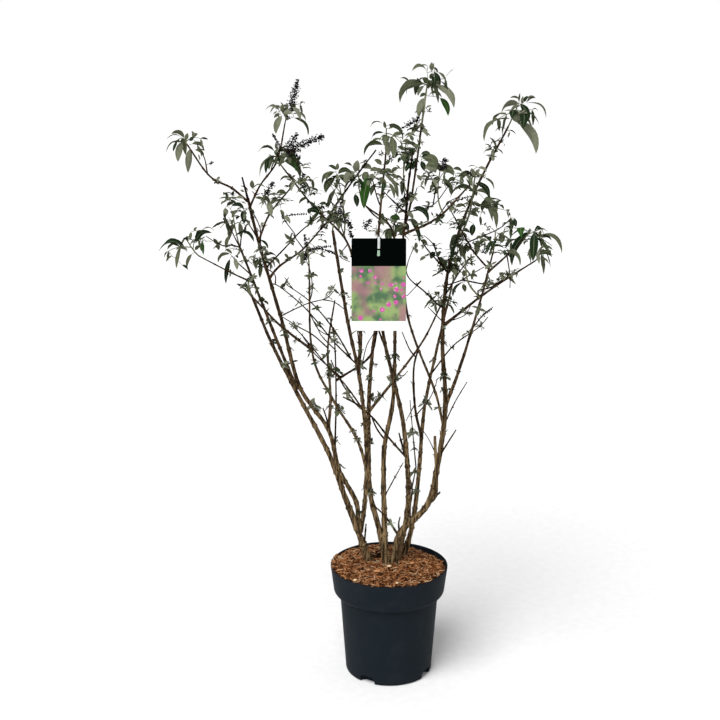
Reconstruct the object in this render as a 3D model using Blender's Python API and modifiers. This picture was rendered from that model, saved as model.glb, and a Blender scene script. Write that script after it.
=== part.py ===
"""A potted butterfly bush in winter leaf: a turned nursery pot, its growing mix, bare woody stems,
and the leafy shoot ends and spent flower spikes that they carry. The front of the plant is -Y."""

import math
import random
from dataclasses import dataclass

import bmesh
import bpy
from mathutils import Matrix, Vector
from mathutils.bvhtree import BVHTree

# Pot
POT_HEIGHT = 0.3057
RIM_RADIUS = 0.1600
SKIRT_RADIUS = 0.1520
SKIRT_DROP = 0.0655
SKIRT_FOOT = POT_HEIGHT - SKIRT_DROP
UNDERCUT = 0.0155
LIP = SKIRT_FOOT - UNDERCUT
BODY_RADIUS = 0.1345
FOOT_RADIUS = 0.1190
FOOT_ROUND = 0.0035
RIM_ROUND = 0.0015
WALL = 0.0030
FLOOR_TOP = 0.0240
POT_SIDES = 36
NOTCH_WIDTH = 0.036
NOTCH_HEIGHT = 0.018
NOTCH_DEPTH = 0.020
NOTCH_CUTTER = 0.040
NOTCH_COUNT = 4
FIRST_NOTCH = math.radians(-121)

# Growing mix
MIX_BELOW_RIM = 0.0090
SOIL = POT_HEIGHT - MIX_BELOW_RIM

# Stems and boughs
GAP = 0.0003
STEM_SIDES_RESOLUTION = 1
STEP = 0.055
FOOT = SOIL + GAP
FOOT_RISE = 0.010
FLARE = 0.35
FLARE_HEIGHT = 0.050
TAPER = 0.8
OLD_WOOD_RADIUS = 0.0035

# Hang tag and the loop that ties it to its stem
TAG_WIDTH = 0.127
TAG_HEIGHT = 0.215
TAG_THICKNESS = 0.0010
TAG_TOP = Vector((-0.0360, -0.2950, 1.2370))
TAG_LEAN = math.radians(6)
TAG_HOLE = 0.0060
TAG_HOLE_DROP = 0.0240
LOOP_WIRE = 0.0011
LOOP_RISE = 0.0100
LOOP_SPREAD = 0.0085

# Leaves, twigs and spent flower spikes
LEAF_WIDTH = 0.27
LEAF_THICKNESS = 0.030
LEAF_BEND = 0.42
LEAF_ROOT = 0.45
TWIG_RADIUS = 0.0023
TWIG_TIP = 0.0016
SHOOT_RADIUS = 0.0015
SHOOT_TIP = 0.0010
ROOT_RADIUS = 0.0005
SPIKE_FLORETS = 5
FLORET = 0.0105
FLORET_TIP = 0.0043
PAIR_GAP = 0.034
TURN = 2.4
CLEAR = 0.0012


@dataclass
class Limb:
    """One tapering stem: its foot and tip radii, the points that it passes, and what carries it."""

    name: str
    foot_radius: float
    tip_radius: float
    points: list
    carrier: str = ""


@dataclass
class Mass:
    """One leafy shoot end: where its stem starts, and the space that its leaves keep to."""

    name: str
    carrier: str
    height: float
    centre: tuple
    reach: tuple
    shoots: int = 3
    leaf: float = 0.085
    spikes: tuple = ()
    hang: float = 0.55
    seed: int = 0


LIMBS = [
    Limb("stem_left_outer", 0.0085, 0.003, [
        (-0.05, 0.016, FOOT), (-0.076, 0.0, 0.375), (-0.12, -0.018, 0.505), (-0.16, -0.03, 0.625),
        (-0.245, -0.065, 0.81), (-0.305, -0.09, 0.945), (-0.35, -0.12, 1.073)]),
    Limb("stem_left_inner", 0.0056, 0.0026, [
        (-0.088, -0.004, 0.41), (-0.088, 0.019, 0.47), (-0.136, 0.04, 0.56), (-0.165, 0.055, 0.67),
        (-0.24, 0.075, 0.78), (-0.29, 0.105, 0.96), (-0.355, 0.14, 1.182), (-0.38, 0.15, 1.288)],
        "stem_left_outer"),
    Limb("bough_left", 0.0042, 0.0024, [
        (-0.243, -0.066, 0.815), (-0.288, -0.058, 0.93), (-0.385, -0.03, 1.18)], "stem_left_outer"),
    Limb("bough_left_back", 0.0036, 0.0018, [
        (-0.165, 0.055, 0.672), (-0.16, 0.082, 0.755), (-0.168, 0.14, 0.88), (-0.15, 0.22, 0.998)],
        "stem_left_inner"),
    Limb("stem_left_front", 0.0054, 0.002, [
        (-0.08, -0.003, 0.4), (-0.07, -0.024, 0.46), (-0.062, -0.05, 0.63), (-0.08, -0.108, 0.85),
        (-0.11, -0.145, 1.01), (-0.145, -0.2, 1.243)], "stem_left_outer"),
    Limb("bough_left_front", 0.0044, 0.002, [
        (-0.062, -0.043, 0.59), (-0.085, -0.08, 0.68), (-0.15, -0.15, 0.815), (-0.194, -0.2, 0.93),
        (-0.2, -0.26, 1.172)], "stem_left_front"),
    Limb("twig_left_front", 0.003, 0.0016, [
        (-0.195, -0.204, 0.95), (-0.27, -0.252, 1.022), (-0.335, -0.3, 1.105)], "bough_left_front"),
    Limb("bough_back_left", 0.004, 0.0018, [
        (-0.085, -0.114, 0.885), (-0.078, -0.08, 0.95), (-0.112, 0.1, 1.172), (-0.205, 0.18, 1.262),
        (-0.295, 0.245, 1.368)], "stem_left_front"),
    Limb("stem_back", 0.0072, 0.0028, [
        (-0.006, -0.008, FOOT), (-0.026, -0.002, 0.4), (-0.052, 0.03, 0.5), (-0.056, 0.09, 0.62),
        (-0.053, 0.17, 0.76), (-0.034, 0.26, 0.92), (0.012, 0.35, 1.105)]),
    Limb("bough_middle_right", 0.0036, 0.0018, [
        (-0.054, 0.14, 0.7), (0.02, 0.128, 0.8), (0.092, 0.118, 0.905), (0.14, 0.11, 1.008)],
        "stem_back"),
    Limb("stem_middle", 0.0062, 0.0018, [
        (-0.01, -0.007, 0.342), (-0.014, 0.001, 0.455), (-0.014, 0.002, 0.64), (0.007, 0.004, 0.76),
        (0.012, 0.05, 1.02), (0.003, 0.08, 1.215), (-0.063, 0.082, 1.273)], "stem_back"),
    Limb("stem_tall_front", 0.007, 0.0024, [
        (0.02, 0.026, FOOT), (0.048, 0.012, 0.44), (0.048, -0.05, 0.56), (0.03, -0.12, 0.745),
        (-0.022, -0.2, 0.985), (-0.038, -0.25, 1.13), (-0.036, -0.27, 1.25), (-0.02, -0.285, 1.438)]),
    Limb("stem_right", 0.0078, 0.0022, [
        (0.01, 0.004, FOOT), (0.03, -0.012, 0.4), (0.1, -0.028, 0.485), (0.127, -0.042, 0.61),
        (0.143, -0.05, 0.765), (0.135, -0.02, 0.94), (0.15, 0.01, 1.12), (0.215, 0.045, 1.31),
        (0.302, 0.076, 1.478)]),
    Limb("bough_top", 0.0048, 0.0022, [
        (0.14, -0.049, 0.705), (0.118, -0.07, 0.8), (0.04, -0.118, 1.02), (0.026, -0.14, 1.215),
        (0.044, -0.135, 1.305), (0.08, -0.096, 1.565)], "stem_right"),
    Limb("twig_top_right", 0.003, 0.0018, [
        (0.029, -0.14, 1.228), (0.105, -0.178, 1.27), (0.178, -0.22, 1.352)], "bough_top"),
    Limb("dead_stump_right", 0.004, 0.003, [
        (0.1, -0.028, 0.488), (0.12, -0.052, 0.52), (0.116, -0.068, 0.69)], "stem_right"),
    Limb("bough_right_front", 0.0042, 0.0018, [
        (0.142, -0.05, 0.762), (0.172, -0.092, 0.87), (0.215, -0.16, 1.06), (0.24, -0.195, 1.188)],
        "stem_right"),
    Limb("twig_right_front", 0.0026, 0.0016, [
        (0.23, -0.184, 1.14), (0.272, -0.184, 1.178), (0.314, -0.176, 1.218)], "bough_right_front"),
    Limb("bough_right_back", 0.0036, 0.0018, [
        (0.14, -0.01, 0.975), (0.262, 0.074, 1.05), (0.398, 0.165, 1.118)], "stem_right"),
    Limb("stem_back_right", 0.0062, 0.0024, [
        (0.04, 0.052, FOOT), (0.066, 0.06, 0.4), (0.082, 0.09, 0.52), (0.102, 0.18, 0.7),
        (0.14, 0.265, 0.85), (0.186, 0.345, 1.018)]),
    Limb("bough_top_left", 0.0028, 0.0018, [
        (-0.381, 0.15, 1.28), (-0.42, 0.136, 1.316), (-0.472, 0.12, 1.345), (-0.53, 0.09, 1.434)],
        "stem_left_inner"),
    Limb("bough_upper_left", 0.0026, 0.0016, [
        (-0.376, 0.149, 1.262), (-0.346, 0.142, 1.322), (-0.3, 0.126, 1.385), (-0.272, 0.1, 1.497)],
        "stem_left_inner"),
    Limb("twig_inner_left", 0.0026, 0.0016, [
        (-0.325, 0.125, 1.075), (-0.3, 0.128, 1.105), (-0.236, 0.14, 1.15), (-0.186, 0.17, 1.203)],
        "stem_left_inner"),
    Limb("twig_upper_left", 0.0026, 0.0016, [
        (-0.352, 0.139, 1.175), (-0.322, 0.105, 1.245), (-0.252, 0.04, 1.332)], "stem_left_inner"),
    Limb("bough_low_left", 0.0026, 0.0016, [
        (-0.35, -0.041, 1.09), (-0.4, -0.066, 1.118), (-0.476, -0.112, 1.168)], "bough_left"),
]

MASSES = [
    Mass("foliage_top_left", "bough_top_left", 1.0, (-0.53, 0.09, 1.424), (0.074, 0.074, 0.072), 3, 0.08),
    Mass("foliage_far_left", "bough_low_left", 1.0, (-0.508, -0.115, 1.19), (0.09, 0.08, 0.062), 3, 0.085),
    Mass("foliage_left", "bough_left", 1.0, (-0.402, -0.03, 1.235), (0.068, 0.08, 0.105), 4, 0.075),
    Mass("foliage_left_inner", "stem_left_inner", 0.82, (-0.342, 0.19, 1.112), (0.06, 0.07, 0.06), 2, 0.07),
    Mass("foliage_left_crest", "bough_upper_left", 1.0, (-0.268, 0.1, 1.508), (0.068, 0.07, 0.062), 3, 0.078,
         ((-0.242, 0.1, 1.6),)),
    Mass("foliage_left_shoulder", "bough_upper_left", 0.55, (-0.25, 0.1, 1.412), (0.08, 0.066, 0.05), 2,
         0.07, ((-0.168, 0.092, 1.452), (-0.232, 0.12, 1.462))),
    Mass("foliage_left_heart", "twig_upper_left", 0.5, (-0.318, 0.06, 1.285), (0.056, 0.06, 0.06), 2, 0.066,
         ((-0.314, 0.052, 1.336),)),
    Mass("foliage_inner_left", "twig_upper_left", 1.0, (-0.225, 0.034, 1.322), (0.062, 0.066, 0.06), 2, 0.068,
         ((-0.224, 0.02, 1.374),)),
    Mass("foliage_inner_back", "twig_inner_left", 1.0, (-0.184, 0.19, 1.24), (0.062, 0.07, 0.06), 3, 0.072),
    Mass("foliage_back_left", "bough_back_left", 1.0, (-0.292, 0.258, 1.39), (0.074, 0.078, 0.066), 2, 0.078,
         ((-0.322, 0.296, 1.452),)),
    Mass("foliage_centre_left", "bough_back_left", 0.58, (-0.14, 0.078, 1.33), (0.062, 0.064, 0.076), 3,
         0.085),
    Mass("foliage_centre", "stem_middle", 1.0, (-0.082, 0.074, 1.345), (0.062, 0.07, 0.092), 4, 0.08),
    Mass("foliage_tall_front", "stem_tall_front", 1.0, (-0.02, -0.285, 1.462), (0.07, 0.074, 0.072), 4,
         0.078),
    Mass("foliage_crown_top", "bough_top", 1.0, (0.084, -0.096, 1.566), (0.095, 0.092, 0.08), 4, 0.085),
    Mass("foliage_centre_top", "bough_top", 0.72, (0.034, -0.08, 1.425), (0.056, 0.066, 0.08), 2, 0.07,
         ((0.06, -0.09, 1.5),)),
    Mass("foliage_right_top", "twig_top_right", 0.55, (0.114, -0.176, 1.378), (0.072, 0.07, 0.056), 2, 0.09,
         ((0.126, -0.172, 1.43),)),
    Mass("foliage_right_upper", "twig_top_right", 1.0, (0.184, -0.232, 1.372), (0.06, 0.068, 0.048), 3,
         0.066),
    Mass("foliage_far_right_top", "stem_right", 1.0, (0.326, 0.085, 1.5), (0.096, 0.086, 0.086), 4, 0.095),
    Mass("foliage_right_shoulder", "stem_right", 0.83, (0.274, 0.056, 1.262), (0.078, 0.07, 0.056), 3, 0.074),
    Mass("foliage_far_right", "twig_right_front", 1.0, (0.334, -0.172, 1.212), (0.104, 0.09, 0.08), 5, 0.085),
    Mass("foliage_right_back", "bough_right_back", 1.0, (0.412, 0.168, 1.13), (0.062, 0.072, 0.052), 3,
         0.072),
    Mass("foliage_right_heart", "stem_right", 0.7, (0.184, -0.034, 1.175), (0.072, 0.07, 0.098), 4, 0.072,
         ((0.2, -0.062, 1.268),)),
    Mass("foliage_right_front", "bough_right_front", 1.0, (0.244, -0.205, 1.222), (0.05, 0.06, 0.052), 2,
         0.062),
    Mass("foliage_right_inner", "bough_middle_right", 1.0, (0.138, 0.112, 1.004), (0.062, 0.066, 0.062), 3,
         0.066),
    Mass("foliage_front_left", "stem_left_front", 1.0, (-0.132, -0.206, 1.262), (0.058, 0.064, 0.056), 1,
         0.066,
         ((-0.12, -0.208, 1.318),)),
    Mass("foliage_front", "bough_left_front", 1.0, (-0.204, -0.264, 1.196), (0.058, 0.064, 0.052), 2, 0.064,
         ((-0.21, -0.272, 1.244),)),
    Mass("foliage_low_left", "stem_left_outer", 1.0, (-0.358, -0.124, 1.09), (0.056, 0.058, 0.046), 2, 0.06),
    Mass("foliage_front_low", "twig_left_front", 1.0, (-0.338, -0.31, 1.122), (0.064, 0.066, 0.056), 3,
         0.066),
    Mass("foliage_back", "stem_back", 1.0, (0.016, 0.36, 1.162), (0.092, 0.09, 0.088), 4, 0.08,
         ((0.03, 0.38, 1.252),), seed=50),
    Mass("foliage_back_right", "stem_back_right", 1.0, (0.194, 0.358, 1.07), (0.086, 0.084, 0.08), 4, 0.078),
]


def clear_scene():
    for obj in list(bpy.data.objects):
        bpy.data.objects.remove(obj, do_unlink=True)


def new_collection(name, hidden=False):
    collection = bpy.data.collections.new(name)
    bpy.context.scene.collection.children.link(collection)
    collection.hide_render = hidden
    return collection


def new_material(name, colour, roughness, metallic=0.0):
    material = bpy.data.materials.new(name)
    material.use_nodes = True
    shader = material.node_tree.nodes["Principled BSDF"]
    shader.inputs["Base Color"].default_value = (*colour, 1.0)
    shader.inputs["Roughness"].default_value = roughness
    shader.inputs["Metallic"].default_value = metallic
    return material


def add_object(name, mesh, collection, material=None, smooth=True):
    obj = bpy.data.objects.new(name, mesh)
    collection.objects.link(obj)
    if material:
        mesh.materials.clear()
        mesh.materials.append(material)
    if smooth:
        mesh.shade_smooth()
        mesh.set_sharp_from_angle(angle=math.radians(40))
    return obj


def evaluated_mesh(obj):
    """The object's mesh with its modifiers applied, as a new datablock."""
    bpy.context.view_layer.update()
    graph = bpy.context.evaluated_depsgraph_get()
    return bpy.data.meshes.new_from_object(obj.evaluated_get(graph), depsgraph=graph)


def remove_all(objects):
    for obj in list(objects):
        bpy.data.objects.remove(obj, do_unlink=True)


def turned(name, profile, collection, material, sides=POT_SIDES):
    """A closed turned solid from a profile that starts and ends on the axis."""
    mesh = bpy.data.meshes.new(name)
    points = [(radius, 0.0, height) for radius, height in profile]
    mesh.from_pydata(points, [(i, i + 1) for i in range(len(points) - 1)], [])
    obj = add_object(name, mesh, collection, material, smooth=False)
    screw = obj.modifiers.new("Turned", "SCREW")
    screw.axis = "Z"
    screw.steps = sides
    screw.render_steps = sides
    screw.use_merge_vertices = True
    screw.merge_threshold = 0.0001
    screw.use_smooth_shade = True
    return obj


def wall_inside(height):
    """Inner radius of the pot's wall at a height above its floor."""
    if height <= LIP:
        share = (height - FLOOR_TOP) / (LIP - FLOOR_TOP)
        return FOOT_RADIUS + share * (BODY_RADIUS - FOOT_RADIUS) - WALL
    if height <= SKIRT_FOOT:
        share = (height - LIP) / UNDERCUT
        return BODY_RADIUS - WALL + share * (SKIRT_RADIUS - BODY_RADIUS)
    share = (height - SKIRT_FOOT) / SKIRT_DROP
    return SKIRT_RADIUS - WALL + share * (RIM_RADIUS - SKIRT_RADIUS)


def make_pot(collection, cutters, material):
    """A nursery pot: a deep straight skirt that curls under to a tapering body, notched at its foot."""
    shoulder = SKIRT_RADIUS - BODY_RADIUS
    below_rim = POT_HEIGHT - RIM_ROUND
    outside = [(RIM_RADIUS - WALL * 0.5, POT_HEIGHT), (RIM_RADIUS, below_rim), (SKIRT_RADIUS, SKIRT_FOOT)]
    for turn in (math.radians(35), math.radians(60), math.radians(90)):
        outside.append((BODY_RADIUS + shoulder * math.cos(turn), SKIRT_FOOT - UNDERCUT * math.sin(turn)))
    outside.append((FOOT_RADIUS, FLOOR_TOP * 0.5))
    outside.append((FOOT_RADIUS - FOOT_ROUND, FOOT_ROUND))
    outside.append((FOOT_RADIUS - 2 * FOOT_ROUND, 0.0))
    inside = [(wall_inside(height), height) for height in (FLOOR_TOP, LIP, SKIRT_FOOT, below_rim)]
    inside.append((RIM_RADIUS - WALL * 0.8, POT_HEIGHT))
    profile = [(0.0, FLOOR_TOP)] + inside + outside + [(0.0, 0.0)]
    pot = turned("pot", profile, collection, material)
    for index in range(NOTCH_COUNT):
        turn = FIRST_NOTCH + index * 2 * math.pi / NOTCH_COUNT
        bpy.ops.mesh.primitive_cube_add(size=1)
        cutter = bpy.context.object
        cutter.name = f"notch_cutter_{index}"
        out = FOOT_RADIUS - NOTCH_DEPTH + NOTCH_CUTTER / 2
        cutter.scale = (NOTCH_CUTTER, NOTCH_WIDTH, NOTCH_HEIGHT * 2)
        cutter.rotation_euler = (0, 0, turn)
        cutter.location = (math.cos(turn) * out, math.sin(turn) * out, 0.0)
        hide_cutter(cutter, cutters)
        cut = pot.modifiers.new(f"Notch {index}", "BOOLEAN")
        cut.operation = "DIFFERENCE"
        cut.solver = "EXACT"
        cut.object = cutter
    return pot


def hide_cutter(cutter, cutters):
    """Moves a cutter to the hidden collection and shows it as a wire."""
    for collection in list(cutter.users_collection):
        collection.objects.unlink(cutter)
    cutters.objects.link(cutter)
    cutter.hide_render = True
    cutter.display_type = "WIRE"


def make_mix(collection, material):
    """The growing mix, a hair clear of the pot's wall and floor."""
    floor = FLOOR_TOP + GAP
    sides = [(wall_inside(height) - 2 * GAP, height) for height in (SOIL, SKIRT_FOOT, LIP, floor)]
    return turned("growing_mix", [(0.0, SOIL)] + sides + [(0.0, floor)], collection, material)


def smooth_path(points, step):
    """Points along a curve through the given ones, about a step apart, with the share of the way run."""
    points = [Vector(point) for point in points]
    padded = [2 * points[0] - points[1]] + points + [2 * points[-1] - points[-2]]
    path = [points[0]]
    for before, start, end, after in zip(padded, padded[1:], padded[2:], padded[3:]):
        knots = [0.0]
        for a, b in ((before, start), (start, end), (end, after)):
            knots.append(knots[-1] + math.sqrt((b - a).length))
        pieces = max(1, round((end - start).length / step))
        for piece in range(1, pieces + 1):
            at = knots[1] + (knots[2] - knots[1]) * piece / pieces
            path.append(spline_point(before, start, end, after, knots, at))
    lengths = [0.0]
    for a, b in zip(path, path[1:]):
        lengths.append(lengths[-1] + (b - a).length)
    return path, [length / lengths[-1] for length in lengths]


def spline_point(before, start, end, after, knots, at):
    """A point of the centripetal curve that runs from start to end."""

    def blend(a, b, low, high):
        return a.lerp(b, (at - knots[low]) / (knots[high] - knots[low]))

    first, middle, last = blend(before, start, 0, 1), blend(start, end, 1, 2), blend(end, after, 2, 3)
    return blend(blend(first, middle, 0, 2), blend(middle, last, 1, 3), 1, 2)


def path_at(path, shares, share):
    """The point and direction at a share of the way along a path."""
    for start, end, low, high in zip(path, path[1:], shares, shares[1:]):
        if share <= high:
            part = (share - low) / (high - low)
            return start.lerp(end, part), (end - start).normalized()
    return path[-1].copy(), (path[-1] - path[-2]).normalized()


def tube_mesh(name, path, radii, resolution, cyclic=False):
    """A tapering tube along a path, as a closed mesh."""
    curve = bpy.data.curves.new(name, "CURVE")
    curve.dimensions = "3D"
    curve.bevel_depth = 1.0
    curve.bevel_resolution = resolution
    curve.use_fill_caps = not cyclic
    spline = curve.splines.new("POLY")
    spline.points.add(len(path) - 1)
    for point, place, radius in zip(spline.points, path, radii):
        point.co = (*place, 1.0)
        point.radius = radius
    spline.use_cyclic_u = cyclic
    guide = bpy.data.objects.new(name, curve)
    bpy.context.scene.collection.objects.link(guide)
    mesh = evaluated_mesh(guide)
    bpy.data.objects.remove(guide)
    bpy.data.curves.remove(curve)
    shape = bmesh.new()
    shape.from_mesh(mesh)
    bmesh.ops.remove_doubles(shape, verts=shape.verts, dist=0.00001)
    bmesh.ops.recalc_face_normals(shape, faces=shape.faces)
    shape.to_mesh(mesh)
    shape.free()
    return mesh


def limb_radii(limb, path, shares):
    """The taper of a limb, with a flare at a foot that stands in the mix."""
    radii = []
    for place, share in zip(path, shares):
        radius = limb.foot_radius + (limb.tip_radius - limb.foot_radius) * share ** TAPER
        if not limb.carrier:
            radius *= 1 + FLARE * max(0.0, 1 - (place - path[0]).length / FLARE_HEIGHT)
        radii.append(radius)
    return radii


def nearest_on(path, place):
    """The point of a path nearest to a place."""
    best = path[0]
    for start, end in zip(path, path[1:]):
        run = end - start
        part = min(1.0, max(0.0, (place - start).dot(run) / run.length_squared))
        candidate = start + run * part
        if (candidate - place).length < (best - place).length:
            best = candidate
    return best


def seat_on(obj, carrier):
    """Cuts the foot of a bough to the shape of the stem that carries it, a hair clear."""
    _, path, _, radii = carrier
    wide = [radius + 1.3 * GAP for radius in radii]
    mesh = tube_mesh(f"sleeve_{obj.name}", path, wide, STEM_SIDES_RESOLUTION)
    sleeve = bpy.data.objects.new(mesh.name, mesh)
    bpy.context.scene.collection.objects.link(sleeve)
    cut = obj.modifiers.new("Seat on carrier", "BOOLEAN")
    cut.operation = "DIFFERENCE"
    cut.solver = "EXACT"
    cut.object = sleeve
    apply_modifiers(obj)
    keep_largest(obj.data)
    bpy.data.objects.remove(sleeve)


def apply_modifiers(obj):
    """Gives an object its evaluated mesh, with its materials, and no modifiers."""
    materials = list(obj.data.materials)
    result = evaluated_mesh(obj)
    obj.modifiers.clear()
    obj.data = result
    result.materials.clear()
    for material in materials:
        result.materials.append(material)


def make_limbs(collection, materials):
    """Every stem and bough, and the path of each."""
    made = {}
    for limb in LIMBS:
        points = [Vector(point) for point in limb.points]
        if limb.carrier:
            points[0] = nearest_on(made[limb.carrier][1], points[0])
        path, shares = smooth_path(points, STEP)
        radii = limb_radii(limb, path, shares)
        if not limb.carrier:
            path.insert(1, path[0] + Vector((0, 0, FOOT_RISE)))
            radii.insert(1, (radii[0] + radii[1]) / 2)
            shares.insert(1, shares[1] / 2)
        mesh = tube_mesh(limb.name, path, radii, STEM_SIDES_RESOLUTION)
        bark = materials["old" if limb.foot_radius > OLD_WOOD_RADIUS else "young"]
        obj = add_object(limb.name, mesh, collection, bark)
        if limb.carrier:
            seat_on(obj, made[limb.carrier])
        made[limb.name] = (obj, path, shares, radii)
    return made


def tree_of(mesh):
    """A search tree of a mesh's faces in world space."""
    places = [vertex.co.copy() for vertex in mesh.vertices]
    return BVHTree.FromPolygons(places, [tuple(face.vertices) for face in mesh.polygons])


def leaf_mesh(root, middle, tip, side, half_width, half_thickness):
    """A pointed blade with a keel along its underside, bent at its middle."""
    shape = bmesh.new()
    bmesh.ops.create_uvsphere(shape, u_segments=3, v_segments=2, radius=1.0)
    down = (tip - root).cross(side).normalized()
    for vertex in shape.verts:
        x, y, z = vertex.co
        if abs(z) > 0.5:
            vertex.co = tip if z > 0 else root
        else:
            vertex.co = middle + side * (y * 1.155 * half_width) + down * ((x - 0.5) * 1.333 * half_thickness)
    bmesh.ops.recalc_face_normals(shape, faces=shape.faces)
    mesh = bpy.data.meshes.new("leaf")
    shape.to_mesh(mesh)
    shape.free()
    return mesh


def twig_mesh(path, radii):
    """A three-sided twig along a path, with a radius at each point."""
    shape = bmesh.new()
    rings = []
    across = (path[1] - path[0]).orthogonal()
    for index, (place, radius) in enumerate(zip(path, radii)):
        ahead = (path[min(index + 1, len(path) - 1)] - path[max(index - 1, 0)]).normalized()
        across = (across - ahead * across.dot(ahead)).normalized()
        turns = [Matrix.Rotation(corner * math.tau / 3, 3, ahead) for corner in range(3)]
        rings.append([shape.verts.new(place + turn @ across * radius) for turn in turns])
    for low, high in zip(rings, rings[1:]):
        for i in range(3):
            shape.faces.new((low[i], low[(i + 1) % 3], high[(i + 1) % 3], high[i]))
    shape.faces.new(reversed(rings[0]))
    shape.faces.new(rings[-1])
    bmesh.ops.recalc_face_normals(shape, faces=shape.faces)
    mesh = bpy.data.meshes.new("twig")
    shape.to_mesh(mesh)
    shape.free()
    return mesh


def arc(start, control, end, pieces):
    """Points of a curve from start to end that leaves towards control."""
    shares = [i / pieces for i in range(pieces + 1)]
    return [start.lerp(control, t).lerp(control.lerp(end, t), t) for t in shares]


class Shoot:
    """Collects the twigs, leaves and spikes of one mass, and fuses them."""

    def __init__(self, mass, obstacles, seed):
        self.mass = mass
        self.centre = Vector(mass.centre)
        self.reach = Vector(mass.reach)
        self.obstacles = obstacles
        self.random = random.Random(seed)
        self.pieces = []
        self.own = []

    def holds(self, place):
        """Whether a place lies in the space of this mass."""
        offset = place - self.centre
        return sum((offset[i] / self.reach[i]) ** 2 for i in range(3)) <= 1.0

    def is_clear(self, mesh, others=()):
        """Whether a mesh touches no limb, no other mass, and none of the other trees given."""
        tree = tree_of(mesh)
        return not any(tree.overlap(other) for other in [*self.obstacles, *others])

    def add_twig(self, path, radii, check=True):
        """Adds a twig, unless it would touch a limb or another mass."""
        mesh = twig_mesh(path, radii)
        padded = twig_mesh(path, [radius + CLEAR for radius in radii])
        fits = not check or self.is_clear(padded)
        bpy.data.meshes.remove(padded)
        if fits:
            self.pieces.append(mesh)
            self.own.append(tree_of(mesh))
        return fits

    def add_leaf(self, place, along, out, length):
        """Adds an arched leaf that starts at place on a twig that runs along, if there is room for it."""
        side = along.cross(out).normalized()
        lift = self.random.uniform(0.25, 0.6)
        fall = self.mass.hang * self.random.uniform(0.7, 1.3)
        middle = place + (out + along * lift).normalized() * (length * LEAF_BEND)
        droop = (out + along * 0.2 - Vector((0, 0, fall))).normalized()
        tip = middle + droop * (length * (1 - LEAF_BEND))
        if not (self.holds(tip) and self.holds(middle)):
            return False
        half_width, half_thickness = length * LEAF_WIDTH / 2, length * LEAF_THICKNESS / 2
        beyond = tip + droop * CLEAR
        free = place.lerp(middle, LEAF_ROOT)
        test = leaf_mesh(free, middle, beyond, side, half_width + CLEAR, half_thickness + CLEAR)
        fits = self.is_clear(test, self.own)
        bpy.data.meshes.remove(test)
        if fits:
            self.pieces.append(leaf_mesh(place, middle, tip, side, half_width, half_thickness))
            self.own.append(tree_of(leaf_mesh(free, middle, tip, side, half_width, half_thickness)))
        return fits

    def add_leaf_pairs(self, path, gap, first_share):
        """Sets opposite leaves along a twig, each pair turned across the one before."""
        lengths = [(b - a).length for a, b in zip(path, path[1:])]
        total = sum(lengths)
        shares = [sum(lengths[:i]) / total for i in range(len(path))]
        stations = max(1, round(total * (1 - first_share) / gap))
        turn = self.random.uniform(0, math.tau)
        for station in range(stations + 1):
            share = first_share + (0.985 - first_share) * station / stations
            place, along = path_at(path, shares, share)
            across = along.orthogonal().normalized()
            turn += math.pi / 2 + self.random.uniform(-0.3, 0.3)
            for half in (0, math.pi):
                out = Matrix.Rotation(turn + half, 3, along) @ across
                length = self.mass.leaf * self.random.uniform(0.8, 1.1) * (0.72 + 0.28 * share)
                for scale in (1.0, 0.82, 0.66):
                    if self.add_leaf(place, along, out, length * scale):
                        break

    def add_spike(self, start, end):
        """A spent flower spike: a thin axis set with florets that shrink towards its end."""
        lean = (end - start).normalized()
        path = arc(start, start.lerp(end, 0.5) + Vector((0, 0, 0.006)), end, 3)
        if not self.add_twig(path, [ROOT_RADIUS, SHOOT_RADIUS, SHOOT_RADIUS, SHOOT_TIP]):
            return
        across = lean.orthogonal().normalized()
        for index in range(SPIKE_FLORETS):
            share = 0.42 + 0.56 * index / (SPIKE_FLORETS - 1)
            size = FLORET + (FLORET_TIP - FLORET) * index / (SPIKE_FLORETS - 1)
            out = Matrix.Rotation(index * TURN, 3, lean) @ across
            place, _ = path_at(path, [0, 1 / 3, 2 / 3, 1], share)
            body = place + out * size * 0.55
            side = lean.cross(out).normalized()
            floret = leaf_mesh(body - out * size, body, body + (out + lean * 0.5).normalized() * size, side,
                               size * 0.62, size * 0.55)
            if self.is_clear(floret):
                self.pieces.append(floret)
                self.own.append(tree_of(floret))
            else:
                bpy.data.meshes.remove(floret)


def start_on(carrier, share, towards, tree):
    """Where a twig leaves its carrier, a hair clear of it, and the way that it points there."""
    _, path, shares, _ = carrier
    place, along = path_at(path, shares, share)
    if share >= 1.0:
        return place + along * (1.5 * GAP), along
    out = towards - place
    out = (out - along * out.dot(along)).normalized()
    hit, _, _, _ = tree.ray_cast(place + out * 0.05, -out)
    return hit + out * (1.5 * GAP), out


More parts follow.
